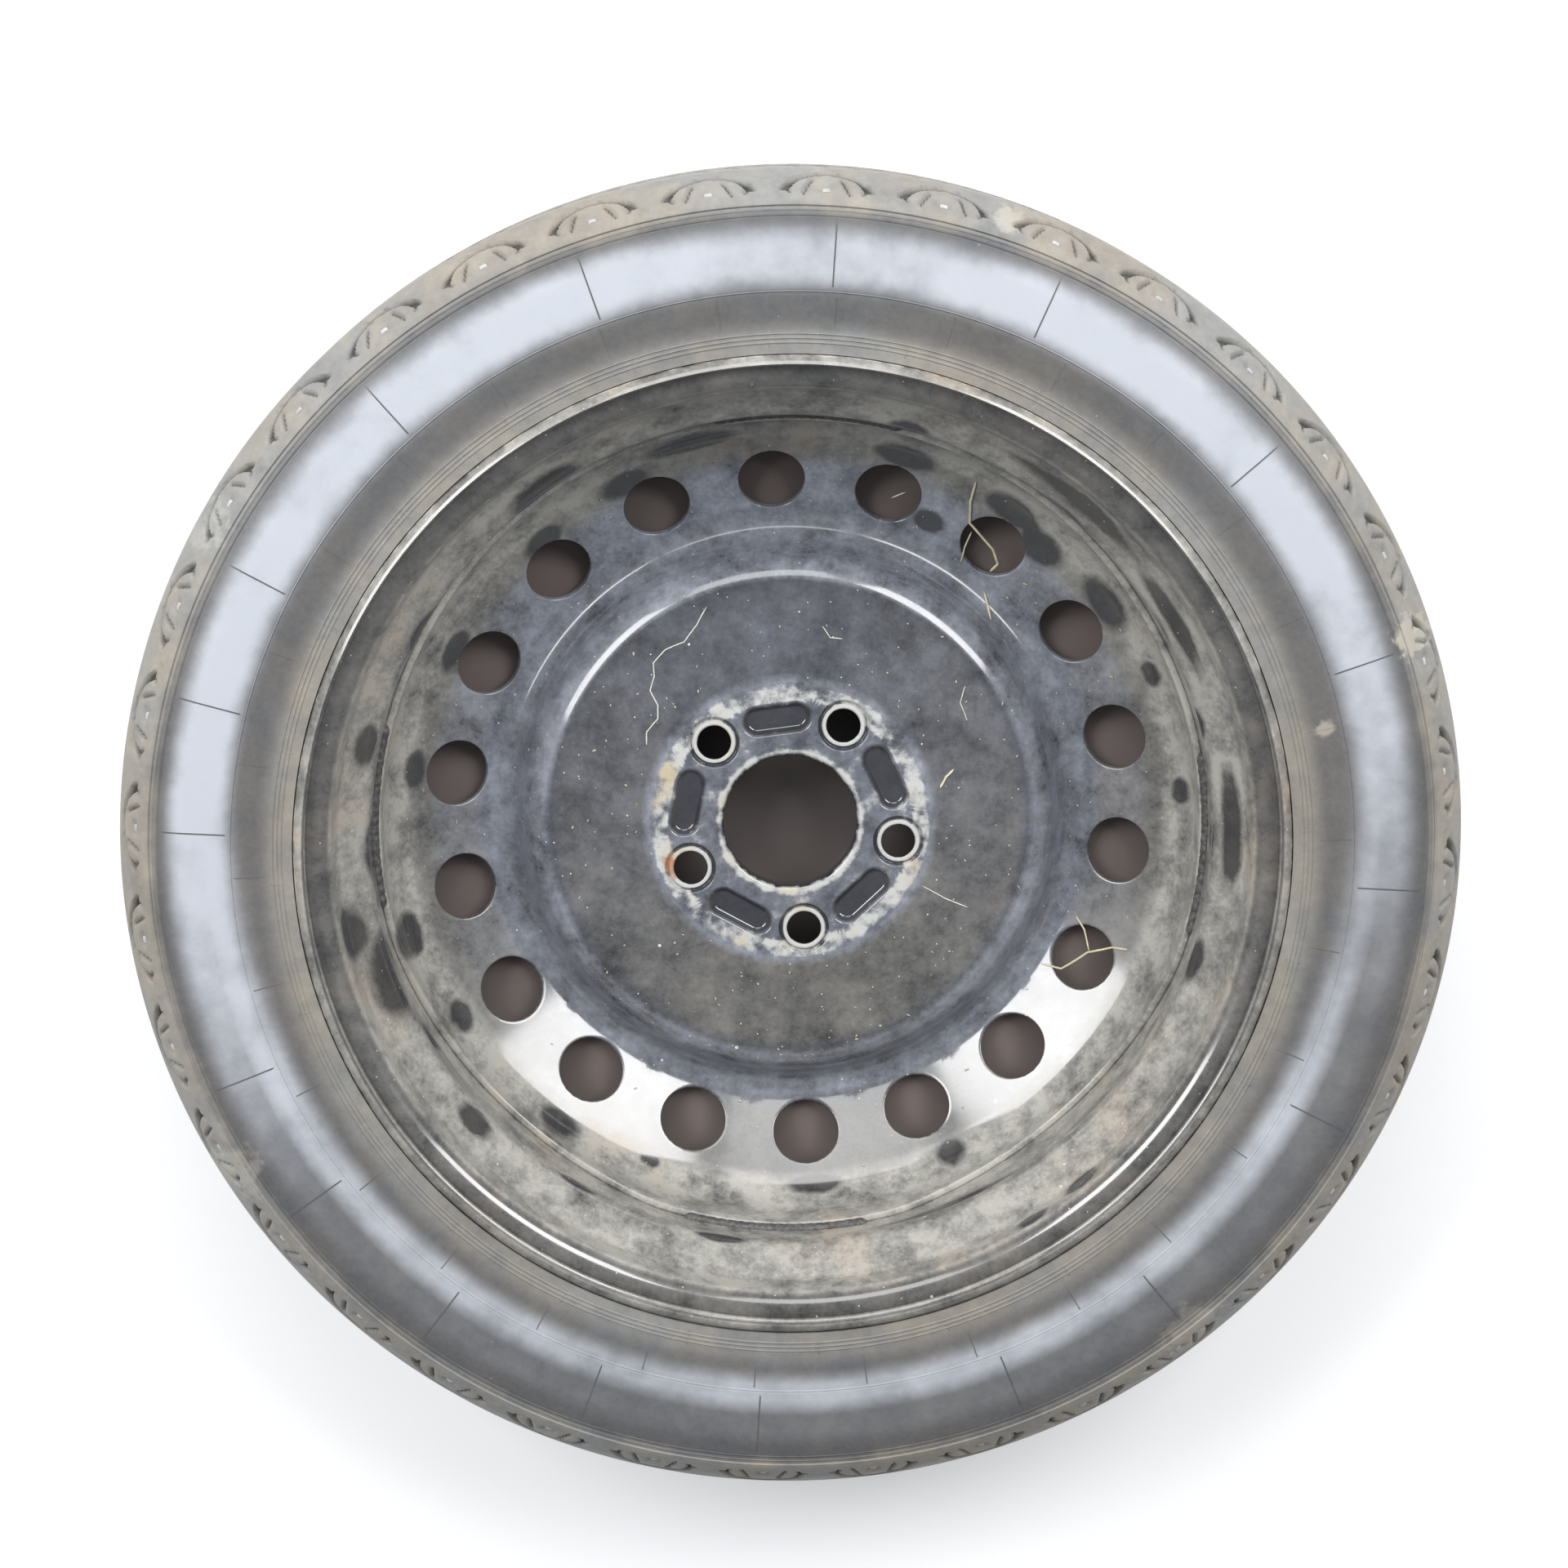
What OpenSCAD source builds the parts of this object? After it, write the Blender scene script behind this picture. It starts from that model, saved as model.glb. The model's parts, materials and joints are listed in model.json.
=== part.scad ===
// Narrow temporary spare wheel: tyre, rolled rim, pressed disc, weld beads and snap-in valve.
// Millimetres. The wheel's axis is Z, its centre plane is Z = 0 and the side towards the car is +Z.
// The wheel lies on its outer sidewall, so the face that bolts to the hub looks up.

/* [Tyre] */
// Overall diameter
tyre_d = 632; // [612:1:660]
// Width across the sidewalls
tyre_w = 128; // [122:1:134]
// Width of the flat of the tread
tread_w = 84; // [76:1:90]
// How much lower the edge of the flat is than its middle
crown_drop = 1.6; // [0.5:0.1:3]
// Drop from the middle of the tread to the middle of the shoulder
shoulder_drop = 8; // [6:0.5:10]
// Drop from the middle of the tread to the top of the sidewall
buttress_drop = 17; // [14:0.5:19]
// Rubber from the tread surface to the inner liner
tread_thick = 13; // [10:0.5:16]
// Rubber of the sidewall
wall_thick = 9; // [7:0.5:11]
// Width of the bead on its seat
bead_w = 13.5; // [12:0.5:14]

/* [Tread pattern] */
// Depth of the grooves
groove_depth = 5; // [3:0.5:6]
// Width of each groove that runs round the tyre
groove_w = 7; // [5:0.5:9]
// Distance of the two side grooves from the middle one
groove_pitch = 23; // [20:0.5:26]
// Number of arches round each shoulder
arch_count = 36; // [30:1:40]
// Radius of the curved groove that makes an arch
arch_r = 22.4; // [18:0.2:24]
// Width of that groove
arch_groove_w = 2.4; // [1.5:0.1:3.5]
// Half of the angle that an arch spans, in degrees
arch_half_angle = 62; // [45:1:75]

/* [Rim] */
// Diameter of the bead seats at their heels
seat_d = 436.6; // [432:0.1:440]
// Width between the inner faces of the flanges
rim_w = 101.6; // [98:0.1:106]
// Height of the flanges above the bead seats
flange_h = 13.7; // [12.5:0.1:15]
// Outer radius of the rolled edge of a flange
curl_r = 6; // [5:0.25:6.5]
// How far the rolled edge turns down past its top, in degrees
curl_turn = 70; // [50:5:80]
// Radius between a flange and its bead seat
heel_r = 6.5; // [5:0.25:7]
// Slope of the bead seats, in degrees
seat_slope = 5; // [3:0.5:6]
// Length of the bead seat on the side towards the car
seat_len_in = 17.8; // [17:0.1:20]
// Length of the bead seat on the outer side
seat_len_out = 15.3; // [15:0.1:16.5]
// Depth of the well below the bead seats
well_depth = 14.8; // [13:0.1:17]
// Place of the well's edge on the side towards the car
well_in_z = 17; // [10:0.5:20]
// Place of the well's edge on the outer side
well_out_z = -25; // [-26:0.5:-24]
// Thickness of the rim's sheet
rim_t = 2.5; // [2:0.1:2.8]

/* [Disc] */
// Distance of the hub face from the centre plane, towards the outside
offset_et = 24; // [20:0.5:26]
// Thickness of the disc's sheet
disc_t = 3.5; // [3:0.1:4]
// Diameter of the flat hub face
pad_d = 136; // [132:1:146]
// Slope of the dome round the hub face, in degrees
dome_slope = 10; // [6:1:14]
// Radius at which the dome ends
dome_r = 126.5; // [120:0.5:130]
// Slope of the wall from the dome down into the valley, in degrees
wall_slope = 65; // [58:1:70]
// Slope of the bowl that carries the vents, in degrees
bowl_slope = 27; // [22:1:30]
// Radius of the bend in the bottom of the valley
valley_r = 12; // [8:0.5:13]
// Radius of the bend from the bowl into the skirt
skirt_r = 24; // [16:1:25]
// How far the low stretches of the skirt stand above the bowl's outer end
skirt_h = 15.2; // [12:0.1:18]
// Height of the four lobes of the skirt above the low stretches
lobe_h = 15; // [8:0.5:16]
// Half of the angle that a low stretch spans, in degrees
dip_half_angle = 27; // [20:1:30]

/* [Disc openings] */
// Number of vents
vent_count = 18; // [16:1:18]
// Diameter of a vent
vent_d = 32.4; // [26:0.1:33]
// Diameter of the circle of vents
vent_circle = 330; // [326:0.5:334]
// Depth of the middle of a vent below the hub face
vent_depth = 24.7; // [22:0.1:26]
// Number of bolt holes
bolt_count = 5; // [4:1:5]
// Diameter of a bolt hole
bolt_d = 16.4; // [13:0.1:17]
// Diameter of the circle of bolt holes
bolt_circle = 108; // [106:0.5:112]
// Diameter of the pressed seat round a bolt hole
bolt_seat_d = 28; // [26:0.5:29]
// Depth of the ring pressed round a bolt hole
bolt_seat_depth = 2; // [1:0.1:2.5]
// Diameter of the centre bore
bore_d = 65.1; // [60:0.1:68]
// Length of the centre bore's collar below the hub face
collar_len = 9.5; // [8:0.5:12]
// Rounding of the centre bore's mouth
bore_round = 2.5; // [1:0.1:3]
// Length of a pocket pressed between two bolt holes
pocket_len = 36; // [30:0.5:37]
// Width of such a pocket at the hub face
pocket_w = 17; // [13:0.5:18]
// Width of its flat floor
pocket_floor_w = 9; // [7:0.5:10]
// Depth of such a pocket
pocket_depth = 2.8; // [1.5:0.1:3.2]
// Distance of a pocket's middle from the axis
pocket_place = 51; // [49:0.5:53]

/* [Welds] */
// Half of the angle that a weld bead spans, in degrees
weld_half_angle = 13; // [8:1:14]
// Leg of the weld bead
weld_leg = 3; // [2:0.1:3.4]

/* [Valve] */
// Diameter of the valve hole in the rim
valve_hole_d = 11.5; // [11:0.1:12]
// Diameter of the valve's rubber foot inside the tyre
valve_foot_d = 17; // [15:0.5:17]
// Diameter of the rubber body next to the rim
valve_body_d = 15.2; // [13.5:0.1:16]
// Diameter of the rubber body at its end
valve_neck_d = 9.8; // [9.4:0.1:10.2]
// Length of the rubber body outside the rim
valve_body_len = 17.5; // [15:0.5:18]
// Length of the valve from the rim's inner face to its mouth
valve_len = 28; // [27:0.5:29]
// Diameter of the valve's threaded end
valve_thread_d = 7.8; // [7.5:0.1:8]
// Travel of the valve pin
pin_travel = 1.2; // [0.8:0.1:1.5]
// Wire of the valve pin's spring
spring_wire = 0.3; // [0.2:0.05:0.35]
// Turns of the valve pin's spring
spring_turns = 5; // [3:1:7]
// Diameter of the valve cap
cap_d = 10.4; // [10:0.1:11]
// Number of grip flutes round the valve cap
cap_flutes = 12; // [8:1:16]

/* [Hidden] */

$fn = 96;
bend_step = 9;
eps = 0.01;

// Colours of the photographed wheel
rubber_grey = [0.36, 0.36, 0.37];
black_paint = [0.13, 0.14, 0.15];
weld_brown = [0.30, 0.28, 0.25];
rubber_black = [0.08, 0.08, 0.08];
brass = [0.72, 0.58, 0.30];
steel = [0.62, 0.62, 0.64];
cap_black = [0.05, 0.05, 0.05];

// Photographed places, clockwise from the top of the picture, turned into angles from +X
vent_phase = 90 + 3.2;
bolt_phase = 90 - 28.5;
lobe_phase = 90 - 2;
arch_phase = 90 - 2.5;
valve_phase = lobe_phase - 45;

// Radii and planes that several pieces share
tyre_r = tyre_d / 2;
seat_r = seat_d / 2;
half_rim_w = rim_w / 2;
flange_r = seat_r + flange_h;
well_r = seat_r - well_depth;
well_inner_r = well_r - rim_t;
seat_end_in_z = half_rim_w - seat_len_in;
seat_end_out_z = seat_len_out - half_rim_w;
seat_end_in_r = seat_r - seat_len_in * tan(seat_slope);
seat_end_out_r = seat_r - seat_len_out * tan(seat_slope);
seat_to_well_r = 8;
out_drop_r = 4.5;
edge_land = 0.5;

// Places of the shoulders' arches, and the angle between their direction and the tread's
arch_middle_drop = 19;
arch_middle_below = 1;
arch_lean = 38.5;
arch_depth = 2.5;

// Clearances
bead_gap = 0.1;
skirt_gap = 0.1;
weld_gap = 0.05;
valve_gap = 0.05;
core_gap = 0.05;

// Hub face and the points of the disc's upper face
pad_z = -offset_et;
pad_r = pad_d / 2;
skirt_inner_r = well_inner_r - skirt_gap - disc_t;
vent_r = vent_circle / 2;
vent_z = pad_z - vent_depth;
dome_end_z = pad_z - (dome_r - pad_r) * tan(dome_slope);
bowl_rise = tan(bowl_slope);
wall_rise = tan(wall_slope);
valley_corner_r = (dome_end_z + wall_rise * dome_r - vent_z + bowl_rise * vent_r) / (bowl_rise + wall_rise);
valley_corner_z = dome_end_z - wall_rise * (valley_corner_r - dome_r);
bowl_end_z = vent_z + bowl_rise * (skirt_inner_r - vent_r);
dip_z = bowl_end_z + skirt_h;
lobe_z = dip_z + lobe_h;
dip_margin = 2;
dome_bend_r = 8;
pad_bend_r = 6;
collar_wall = 3.5;

// Vector helpers for outlines in a plane
function unit(v) = v / norm(v);
function left_of(v) = [-v.y, v.x];
function turn_sign(p, q, r) = sign(cross(q - p, r - q));
function mirrored(points) = [for (i = [len(points) - 1:-1:0]) [points[i].x, -points[i].y]];
function reversed(points) = [for (i = [len(points) - 1:-1:0]) points[i]];

// Arc of the given radius that rounds the corner q between p and r
function corner_arc(p, q, r, radius) =
    let (back = unit(p - q), ahead = unit(r - q))
    let (half = acos(max(-1, min(1, back * ahead))) / 2)
    let (middle = q + unit(back + ahead) * radius / sin(half))
    let (first = q + back * radius / tan(half) - middle)
    let (sweep = (180 - 2 * half) * turn_sign(p, q, r))
    let (start = atan2(first.y, first.x), steps = max(1, ceil(abs(sweep) / bend_step)))
    [for (i = [0:steps]) middle + radius * [cos(start + sweep * i / steps), sin(start + sweep * i / steps)]];

// Path with each inner corner rounded by its own radius
function rounded(path, radii) = [
    path[0],
    for (i = [1:len(path) - 2])
        each (radii[i - 1] > 0 ? corner_arc(path[i - 1], path[i], path[i + 1], radii[i - 1]) : [path[i]]),
    path[len(path) - 1]
];

// The same path moved sideways by d, to the left of its direction
function shifted(path, d) = [
    for (i = [0:len(path) - 1])
        let (last = len(path) - 1)
        let (before = unit(i > 0 ? path[i] - path[i - 1] : path[1] - path[0]))
        let (after = unit(i < last ? path[i + 1] - path[i] : path[last] - path[last - 1]))
        let (across = (left_of(before) + left_of(after)) / (1 + before * after))
        path[i] + d * across
];

// Radii of the shifted path: smaller where it lies inside the bend and larger outside it
function shifted_radii(path, radii, d) = [
    for (i = [0:len(radii) - 1]) radii[i] - d * turn_sign(path[i], path[i + 1], path[i + 2])
];

// Outline of a bent sheet whose one face is the rounded path and whose other face lies t to the left
function sheet_outline(path, radii, t) =
    concat(rounded(path, radii), reversed(rounded(shifted(path, t), shifted_radii(path, radii, t))));

// Rim: the tyre side of the sheet, from the flange towards the car to the outer flange
curl_tangent = curl_r * tan(curl_turn / 2);
curl_corner = [flange_r, half_rim_w + curl_r + curl_tangent];
curl_end = curl_corner + (curl_tangent + edge_land) * [-sin(curl_turn), cos(curl_turn)];
rim_path = [
    curl_end, curl_corner, [flange_r, half_rim_w], [seat_r, half_rim_w],
    [seat_end_in_r, seat_end_in_z], [well_r, well_in_z], [well_r, well_out_z],
    [seat_end_out_r, seat_end_out_z], [seat_r, -half_rim_w], [flange_r, -half_rim_w],
    [curl_corner.x, -curl_corner.y], [curl_end.x, -curl_end.y]
];
rim_radii = [curl_r, curl_r, heel_r, seat_to_well_r, seat_to_well_r, out_drop_r, out_drop_r, heel_r, curl_r, curl_r];

// Disc: the face towards the car, from the skirt's lobes to the hub face
disc_path = [
    [skirt_inner_r, lobe_z], [skirt_inner_r, bowl_end_z], [valley_corner_r, valley_corner_z],
    [dome_r, dome_end_z], [pad_r, pad_z], [bore_d / 2 + collar_wall, pad_z]
];
disc_radii = [skirt_r, valley_r, dome_bend_r, pad_bend_r];

// Valve seat: the middle of the drop from the outer bead seat into the well, on the tyre side
drop_run = [seat_end_out_r - well_r, seat_end_out_z - well_out_z];
valve_seat = [well_r, well_out_z] + drop_run / 2;
valve_tilt = atan2(drop_run.y, -drop_run.x);
stem_r = 3;
stem_bore_r = 1.6;
chamber_r = 2.65;
chamber_len = 16.5;
core_r = chamber_r - core_gap;
core_bore_r = 1.3;
core_len = 14;
pin_r = 0.5;
pin_fit = 0.05;
pin_head_r = 1.1;
pin_head_h = 0.8;
ledge_h = 1.5;
mouth_recess = 0.4;
foot_h = 4.5;
foot_relief = 0.9;
neck_taper_end = 0.75;
cap_wall = 1;
cap_clear = 0.15;
flute_r = 0.6;

module tyre_outline() {
    top_z = tyre_w / 2;
    rise = tyre_r - flange_r;
    seat_line = [
        [flange_r + bead_gap, half_rim_w + curl_r + 3],
        [flange_r + bead_gap, half_rim_w - bead_gap],
        [seat_r + bead_gap, half_rim_w - bead_gap],
        [seat_r + bead_gap - bead_w * tan(seat_slope), half_rim_w - bead_w]
    ];
    outside = [
        [tyre_r, 0],
        [tyre_r - crown_drop, tread_w / 2],
        [tyre_r - shoulder_drop, tread_w / 2 + (top_z - tread_w / 2) * 0.5],
        [tyre_r - buttress_drop, top_z - 2.6],
        [flange_r + rise * 0.62, top_z],
        [flange_r + rise * 0.34, top_z],
        [flange_r + rise * 0.13, top_z - 3.2],
        [flange_r + 1, half_rim_w + curl_r + 3.6]
    ];
    outside_radii = [9, 9, 12, 40, 40, 6];
    toe = seat_line[3];
    inside = [
        [toe.x, toe.y],
        [toe.x + 1.6, toe.y - 1.2],
        [flange_r + rise * 0.05, top_z - wall_thick - 10],
        [flange_r + rise * 0.26, top_z - wall_thick - 0.5],
        [flange_r + rise * 0.62, top_z - wall_thick],
        [tyre_r - tread_thick - 1, tread_w / 2],
        [tyre_r - tread_thick, 0]
    ];
    inside_radii = [1, 14, 20, 30, 12];
    outer_half = concat(
        rounded(outside, outside_radii),
        rounded(seat_line, [curl_r + bead_gap, heel_r - bead_gap])
    );
    inner_half = rounded(inside, inside_radii);
    polygon(concat(outer_half, inner_half, mirrored(inner_half), mirrored(outer_half)));
}

// Curved grooves of one shoulder. Each stands square on the shoulder, with its middle at the top of the sidewall.
module shoulder_arches() {
    for (i = [0:arch_count - 1])
        rotate([0, 0, arch_phase + i * 360 / arch_count])
        translate([tyre_r - arch_middle_drop, 0, tyre_w / 2 - arch_middle_below])
        rotate([0, 90 - arch_lean, 0])
        translate([0, 0, -arch_depth])
        rotate([0, 0, -arch_half_angle])
        rotate_extrude(angle = 2 * arch_half_angle)
        translate([arch_r - arch_groove_w / 2, 0])
        square([arch_groove_w, arch_depth + arch_r / 2]);
}

module tyre() {
    color(rubber_grey)
    difference() {
        rotate_extrude() tyre_outline();
        shoulder_arches();
        mirror([0, 0, 1]) shoulder_arches();
        for (z = [-groove_pitch, 0, groove_pitch])
            translate([0, 0, z - groove_w / 2])
            difference() {
                cylinder(r = tyre_r + 1, h = groove_w);
                translate([0, 0, -eps]) cylinder(r = tyre_r - groove_depth, h = groove_w + 2 * eps);
            }
    }
}

module rim() {
    color(black_paint)
    difference() {
        rotate_extrude() polygon(sheet_outline(rim_path, rim_radii, -rim_t));
        at_valve() translate([0, 0, -rim_t]) cylinder(d = valve_hole_d, h = 3 * rim_t);
    }
}

// Places its children with +Z along the valve, outwards, and z = 0 on the tyre side of the rim
module at_valve() {
    rotate([0, 0, valve_phase])
    translate([valve_seat.x, 0, valve_seat.y])
    rotate([0, valve_tilt, 0])
    children();
}

module disc() {
    color(black_paint)
    difference() {
        union() {
            difference() {
                union() {
                    rotate_extrude() disc_outline();
                    at_pockets() pocket_boss();
                }
                at_bolts() translate([0, 0, -disc_t * 2]) cylinder(d = bolt_seat_d, h = disc_t * 4);
                at_pockets() pocket_recess();
            }
            at_bolts() rotate_extrude() bolt_seat_outline();
        }
        at_vents() cylinder(d = vent_d, h = disc_t * 8, center = true);
        skirt_dips();
    }
}

module disc_outline() {
    lower_path = concat(
        [for (i = [0:4]) shifted(disc_path, disc_t)[i]],
        [[bore_d / 2 + collar_wall, pad_z - disc_t], [bore_d / 2 + collar_wall, pad_z - collar_len]]
    );
    lower_radii = concat(shifted_radii(disc_path, disc_radii, disc_t), [1.5]);
    upper_path = concat(
        [for (i = [0:4]) disc_path[i]],
        [[bore_d / 2, pad_z], [bore_d / 2, pad_z - collar_len]]
    );
    polygon(concat(
        rounded(upper_path, concat(disc_radii, [bore_round])),
        reversed(rounded(lower_path, lower_radii))
    ));
}

// Ring of metal round a bolt hole: pressed ring and collar above, cone for the nut below
module bolt_seat_outline() {
    hole_r = bolt_d / 2;
    rim_r = bolt_seat_d / 2;
    low = -bolt_seat_depth;
    cone_h = disc_t + bolt_seat_depth - 2.3;
    polygon([
        [rim_r, 0], [rim_r - 1.2, 0], [rim_r - 2.2, low], [hole_r + 2.6, low], [hole_r + 1.9, -0.3],
        [hole_r + 0.5, -0.3], [hole_r, -0.8], [hole_r, -2.3], [hole_r + cone_h * tan(30), low - disc_t],
        [rim_r - 1.4, low - disc_t], [rim_r, -disc_t]
    ]);
}

module at_bolts() {
    for (i = [0:bolt_count - 1])
        rotate([0, 0, bolt_phase + i * 360 / bolt_count])
        translate([bolt_circle / 2, 0, pad_z])
        children();
}

module at_pockets() {
    for (i = [0:bolt_count - 1])
        rotate([0, 0, bolt_phase + (i + 0.5) * 360 / bolt_count])
        translate([pocket_place, 0, pad_z])
        rotate([0, 0, 90])
        children();
}

module at_vents() {
    for (i = [0:vent_count - 1])
        rotate([0, 0, vent_phase + i * 360 / vent_count])
        translate([vent_r, 0, vent_z])
        rotate([0, -bowl_slope, 0])
        children();
}

// Stadium with sloping walls that lies along X: floor width below, mouth width above
module sloped_stadium(floor_w, mouth_w, height, reach) {
    for (side = [-1, 1])
        translate([side * reach, 0, 0]) cylinder(d1 = floor_w, d2 = mouth_w, h = height);
    rotate([90, 0, 90])
        linear_extrude(height = 2 * reach, center = true)
        polygon([[-floor_w / 2, 0], [floor_w / 2, 0], [mouth_w / 2, height], [-mouth_w / 2, height]]);
}

module pocket_recess() {
    reach = (pocket_len - pocket_w) / 2;
    flare = (pocket_w - pocket_floor_w) / pocket_depth;
    over = 0.5;
    translate([0, 0, -pocket_depth])
        sloped_stadium(pocket_floor_w, pocket_w + flare * over, pocket_depth + over, reach);
}

module pocket_boss() {
    reach = (pocket_len - pocket_w) / 2;
    flare = (pocket_w - pocket_floor_w) / pocket_depth;
    side_wall = 2.4;
    sunk = 0.5;
    translate([0, 0, -pocket_depth - disc_t])
        sloped_stadium(pocket_floor_w + side_wall, pocket_w + side_wall + flare * sunk, pocket_depth + sunk, reach);
}

// Low stretches between the lobes of the skirt, each cut by a cylinder that lies along the radius
module skirt_dips() {
    half_chord = well_inner_r * sin(dip_half_angle);
    dip_r = (pow(half_chord, 2) + pow(lobe_h, 2)) / (2 * lobe_h);
    near_r = skirt_inner_r * cos(dip_half_angle) - dip_margin;
    for (i = [0:3])
        rotate([0, 0, lobe_phase + 45 + 90 * i])
        translate([near_r, 0, dip_z + dip_r])
        rotate([0, 90, 0])
        cylinder(r = dip_r, h = well_inner_r + dip_margin - near_r, $fn = 180);
}

module weld_beads() {
    corner_r = well_inner_r - weld_gap;
    color(weld_brown)
    for (i = [0:3])
        rotate([0, 0, lobe_phase + 90 * i - weld_half_angle])
        rotate_extrude(angle = 2 * weld_half_angle)
        polygon([
            [corner_r, lobe_z], [corner_r - weld_leg, lobe_z], [corner_r - weld_leg * 0.7, lobe_z + weld_leg * 0.55],
            [corner_r, lobe_z + weld_leg]
        ]);
}

module valve_body() {
    hole_r = valve_hole_d / 2 - valve_gap;
    neck_z = rim_t + valve_body_len * neck_taper_end;
    color(rubber_black)
    at_valve()
    rotate_extrude()
    polygon([
        [stem_r + valve_gap, -foot_h], [valve_foot_d * 0.3, -foot_h], [valve_foot_d * 0.44, -foot_h * 0.6],
        [valve_foot_d / 2, -foot_h * 0.35], [valve_foot_d / 2, -foot_relief], [hole_r + 1.2, -valve_gap],
        [hole_r, -valve_gap], [hole_r, rim_t + valve_gap], [hole_r + 0.8, rim_t + valve_gap],
        [valve_body_d / 2, rim_t + foot_relief], [valve_body_d / 2, rim_t + 2.5],
        [valve_neck_d / 2, neck_z], [valve_neck_d / 2, rim_t + valve_body_len],
        [stem_r + valve_gap, rim_t + valve_body_len]
    ]);
}

module valve_stem() {
    collar_z = rim_t + valve_body_len + valve_gap;
    color(brass)
    at_valve()
    rotate_extrude()
    polygon([
        [stem_bore_r, -foot_h], [stem_r, -foot_h], [stem_r, collar_z], [valve_thread_d / 2, collar_z],
        [valve_thread_d / 2, valve_len - 0.5], [valve_thread_d / 2 - 0.5, valve_len], [chamber_r, valve_len],
        [chamber_r, valve_len - chamber_len], [stem_bore_r, valve_len - chamber_len - 1]
    ]);
}

module valve_core() {
    top_z = valve_len - mouth_recess;
    low_z = top_z - core_len;
    color(brass)
    at_valve()
    rotate_extrude()
    polygon([
        [pin_r + pin_fit, low_z], [core_r - 0.6, low_z], [core_r, low_z + 3], [core_r, top_z - 1],
        [core_r - 0.4, top_z], [core_bore_r, top_z], [core_bore_r, low_z + ledge_h],
        [pin_r + pin_fit, low_z + ledge_h]
    ]);
}

// The pin's collar rests under the spring's top, and its cup closes the core's lower end
module valve_pin() {
    top_z = valve_len - mouth_recess;
    low_z = top_z - core_len;
    head_z = top_z - 3;
    color(brass)
    at_valve()
    rotate_extrude()
    polygon([
        [0, low_z - 1.6], [pin_head_r, low_z - 1.6], [pin_head_r, low_z - valve_gap], [pin_r, low_z - valve_gap],
        [pin_r, head_z], [pin_head_r, head_z], [pin_head_r, head_z + pin_head_h], [pin_r, head_z + pin_head_h],
        [pin_r, top_z], [0, top_z]
    ]);
}

// Coil of round wire under the pin's collar, with room below it for the pin's travel
module core_spring() {
    top_z = valve_len - mouth_recess - 3 - spring_wire / 2 - valve_gap;
    low_z = valve_len - mouth_recess - core_len + ledge_h + pin_travel + spring_wire;
    coil_r = core_bore_r - spring_wire;
    sides = 6;
    per_turn = 12;
    rings = spring_turns * per_turn;
    points = [
        for (i = [0:rings])
            for (j = [0:sides - 1])
                let (a = 360 * i / per_turn, b = 360 * j / sides, r = coil_r + spring_wire / 2 * cos(b))
                [r * cos(a), r * sin(a), low_z + (top_z - low_z) * i / rings + spring_wire / 2 * sin(b)]
    ];
    walls = [
        for (i = [0:rings - 1])
            for (j = [0:sides - 1])
                let (k = (j + 1) % sides)
                each [
                    [i * sides + j, i * sides + k, (i + 1) * sides + k],
                    [i * sides + j, (i + 1) * sides + k, (i + 1) * sides + j]
                ]
    ];
    ends = [[for (j = [sides - 1:-1:0]) j], [for (j = [0:sides - 1]) rings * sides + j]];
    color(steel)
    at_valve()
    polyhedron(points, concat(walls, ends));
}

module valve_cap() {
    low_z = rim_t + valve_body_len + 0.4;
    top_z = valve_len + 2;
    color(cap_black)
    at_valve()
    difference() {
        rotate_extrude()
            polygon([
                [0, valve_len + 0.4], [valve_thread_d / 2 + cap_clear, valve_len + 0.4],
                [valve_thread_d / 2 + cap_clear, low_z], [cap_d / 2, low_z], [cap_d / 2, top_z - 1],
                [cap_d / 2 - 1, top_z], [0, top_z]
            ]);
        for (i = [0:cap_flutes - 1])
            rotate([0, 0, i * 360 / cap_flutes])
            translate([cap_d / 2 + flute_r * 0.5, 0, low_z + 1])
            cylinder(r = flute_r, h = top_z, $fn = 24);
    }
}

tyre();
rim();
disc();
weld_beads();
valve_body();
valve_stem();
valve_core();
core_spring();
valve_pin();
valve_cap();
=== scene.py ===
# %% [markdown]
# # A spare wheel in Blender
# The object is a narrow temporary spare wheel: a rubber tyre on a rolled steel rim, a pressed steel disc inside
# the rim, and a snap-in valve. It lies on its outer side, so the camera looks down on the side that faces the car.
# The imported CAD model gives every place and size. This script makes finer surfaces over it and paints them.

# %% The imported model
import json
from functools import partialmethod

import bmesh
import bpy
import numpy as np
from mathutils import Matrix

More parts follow.
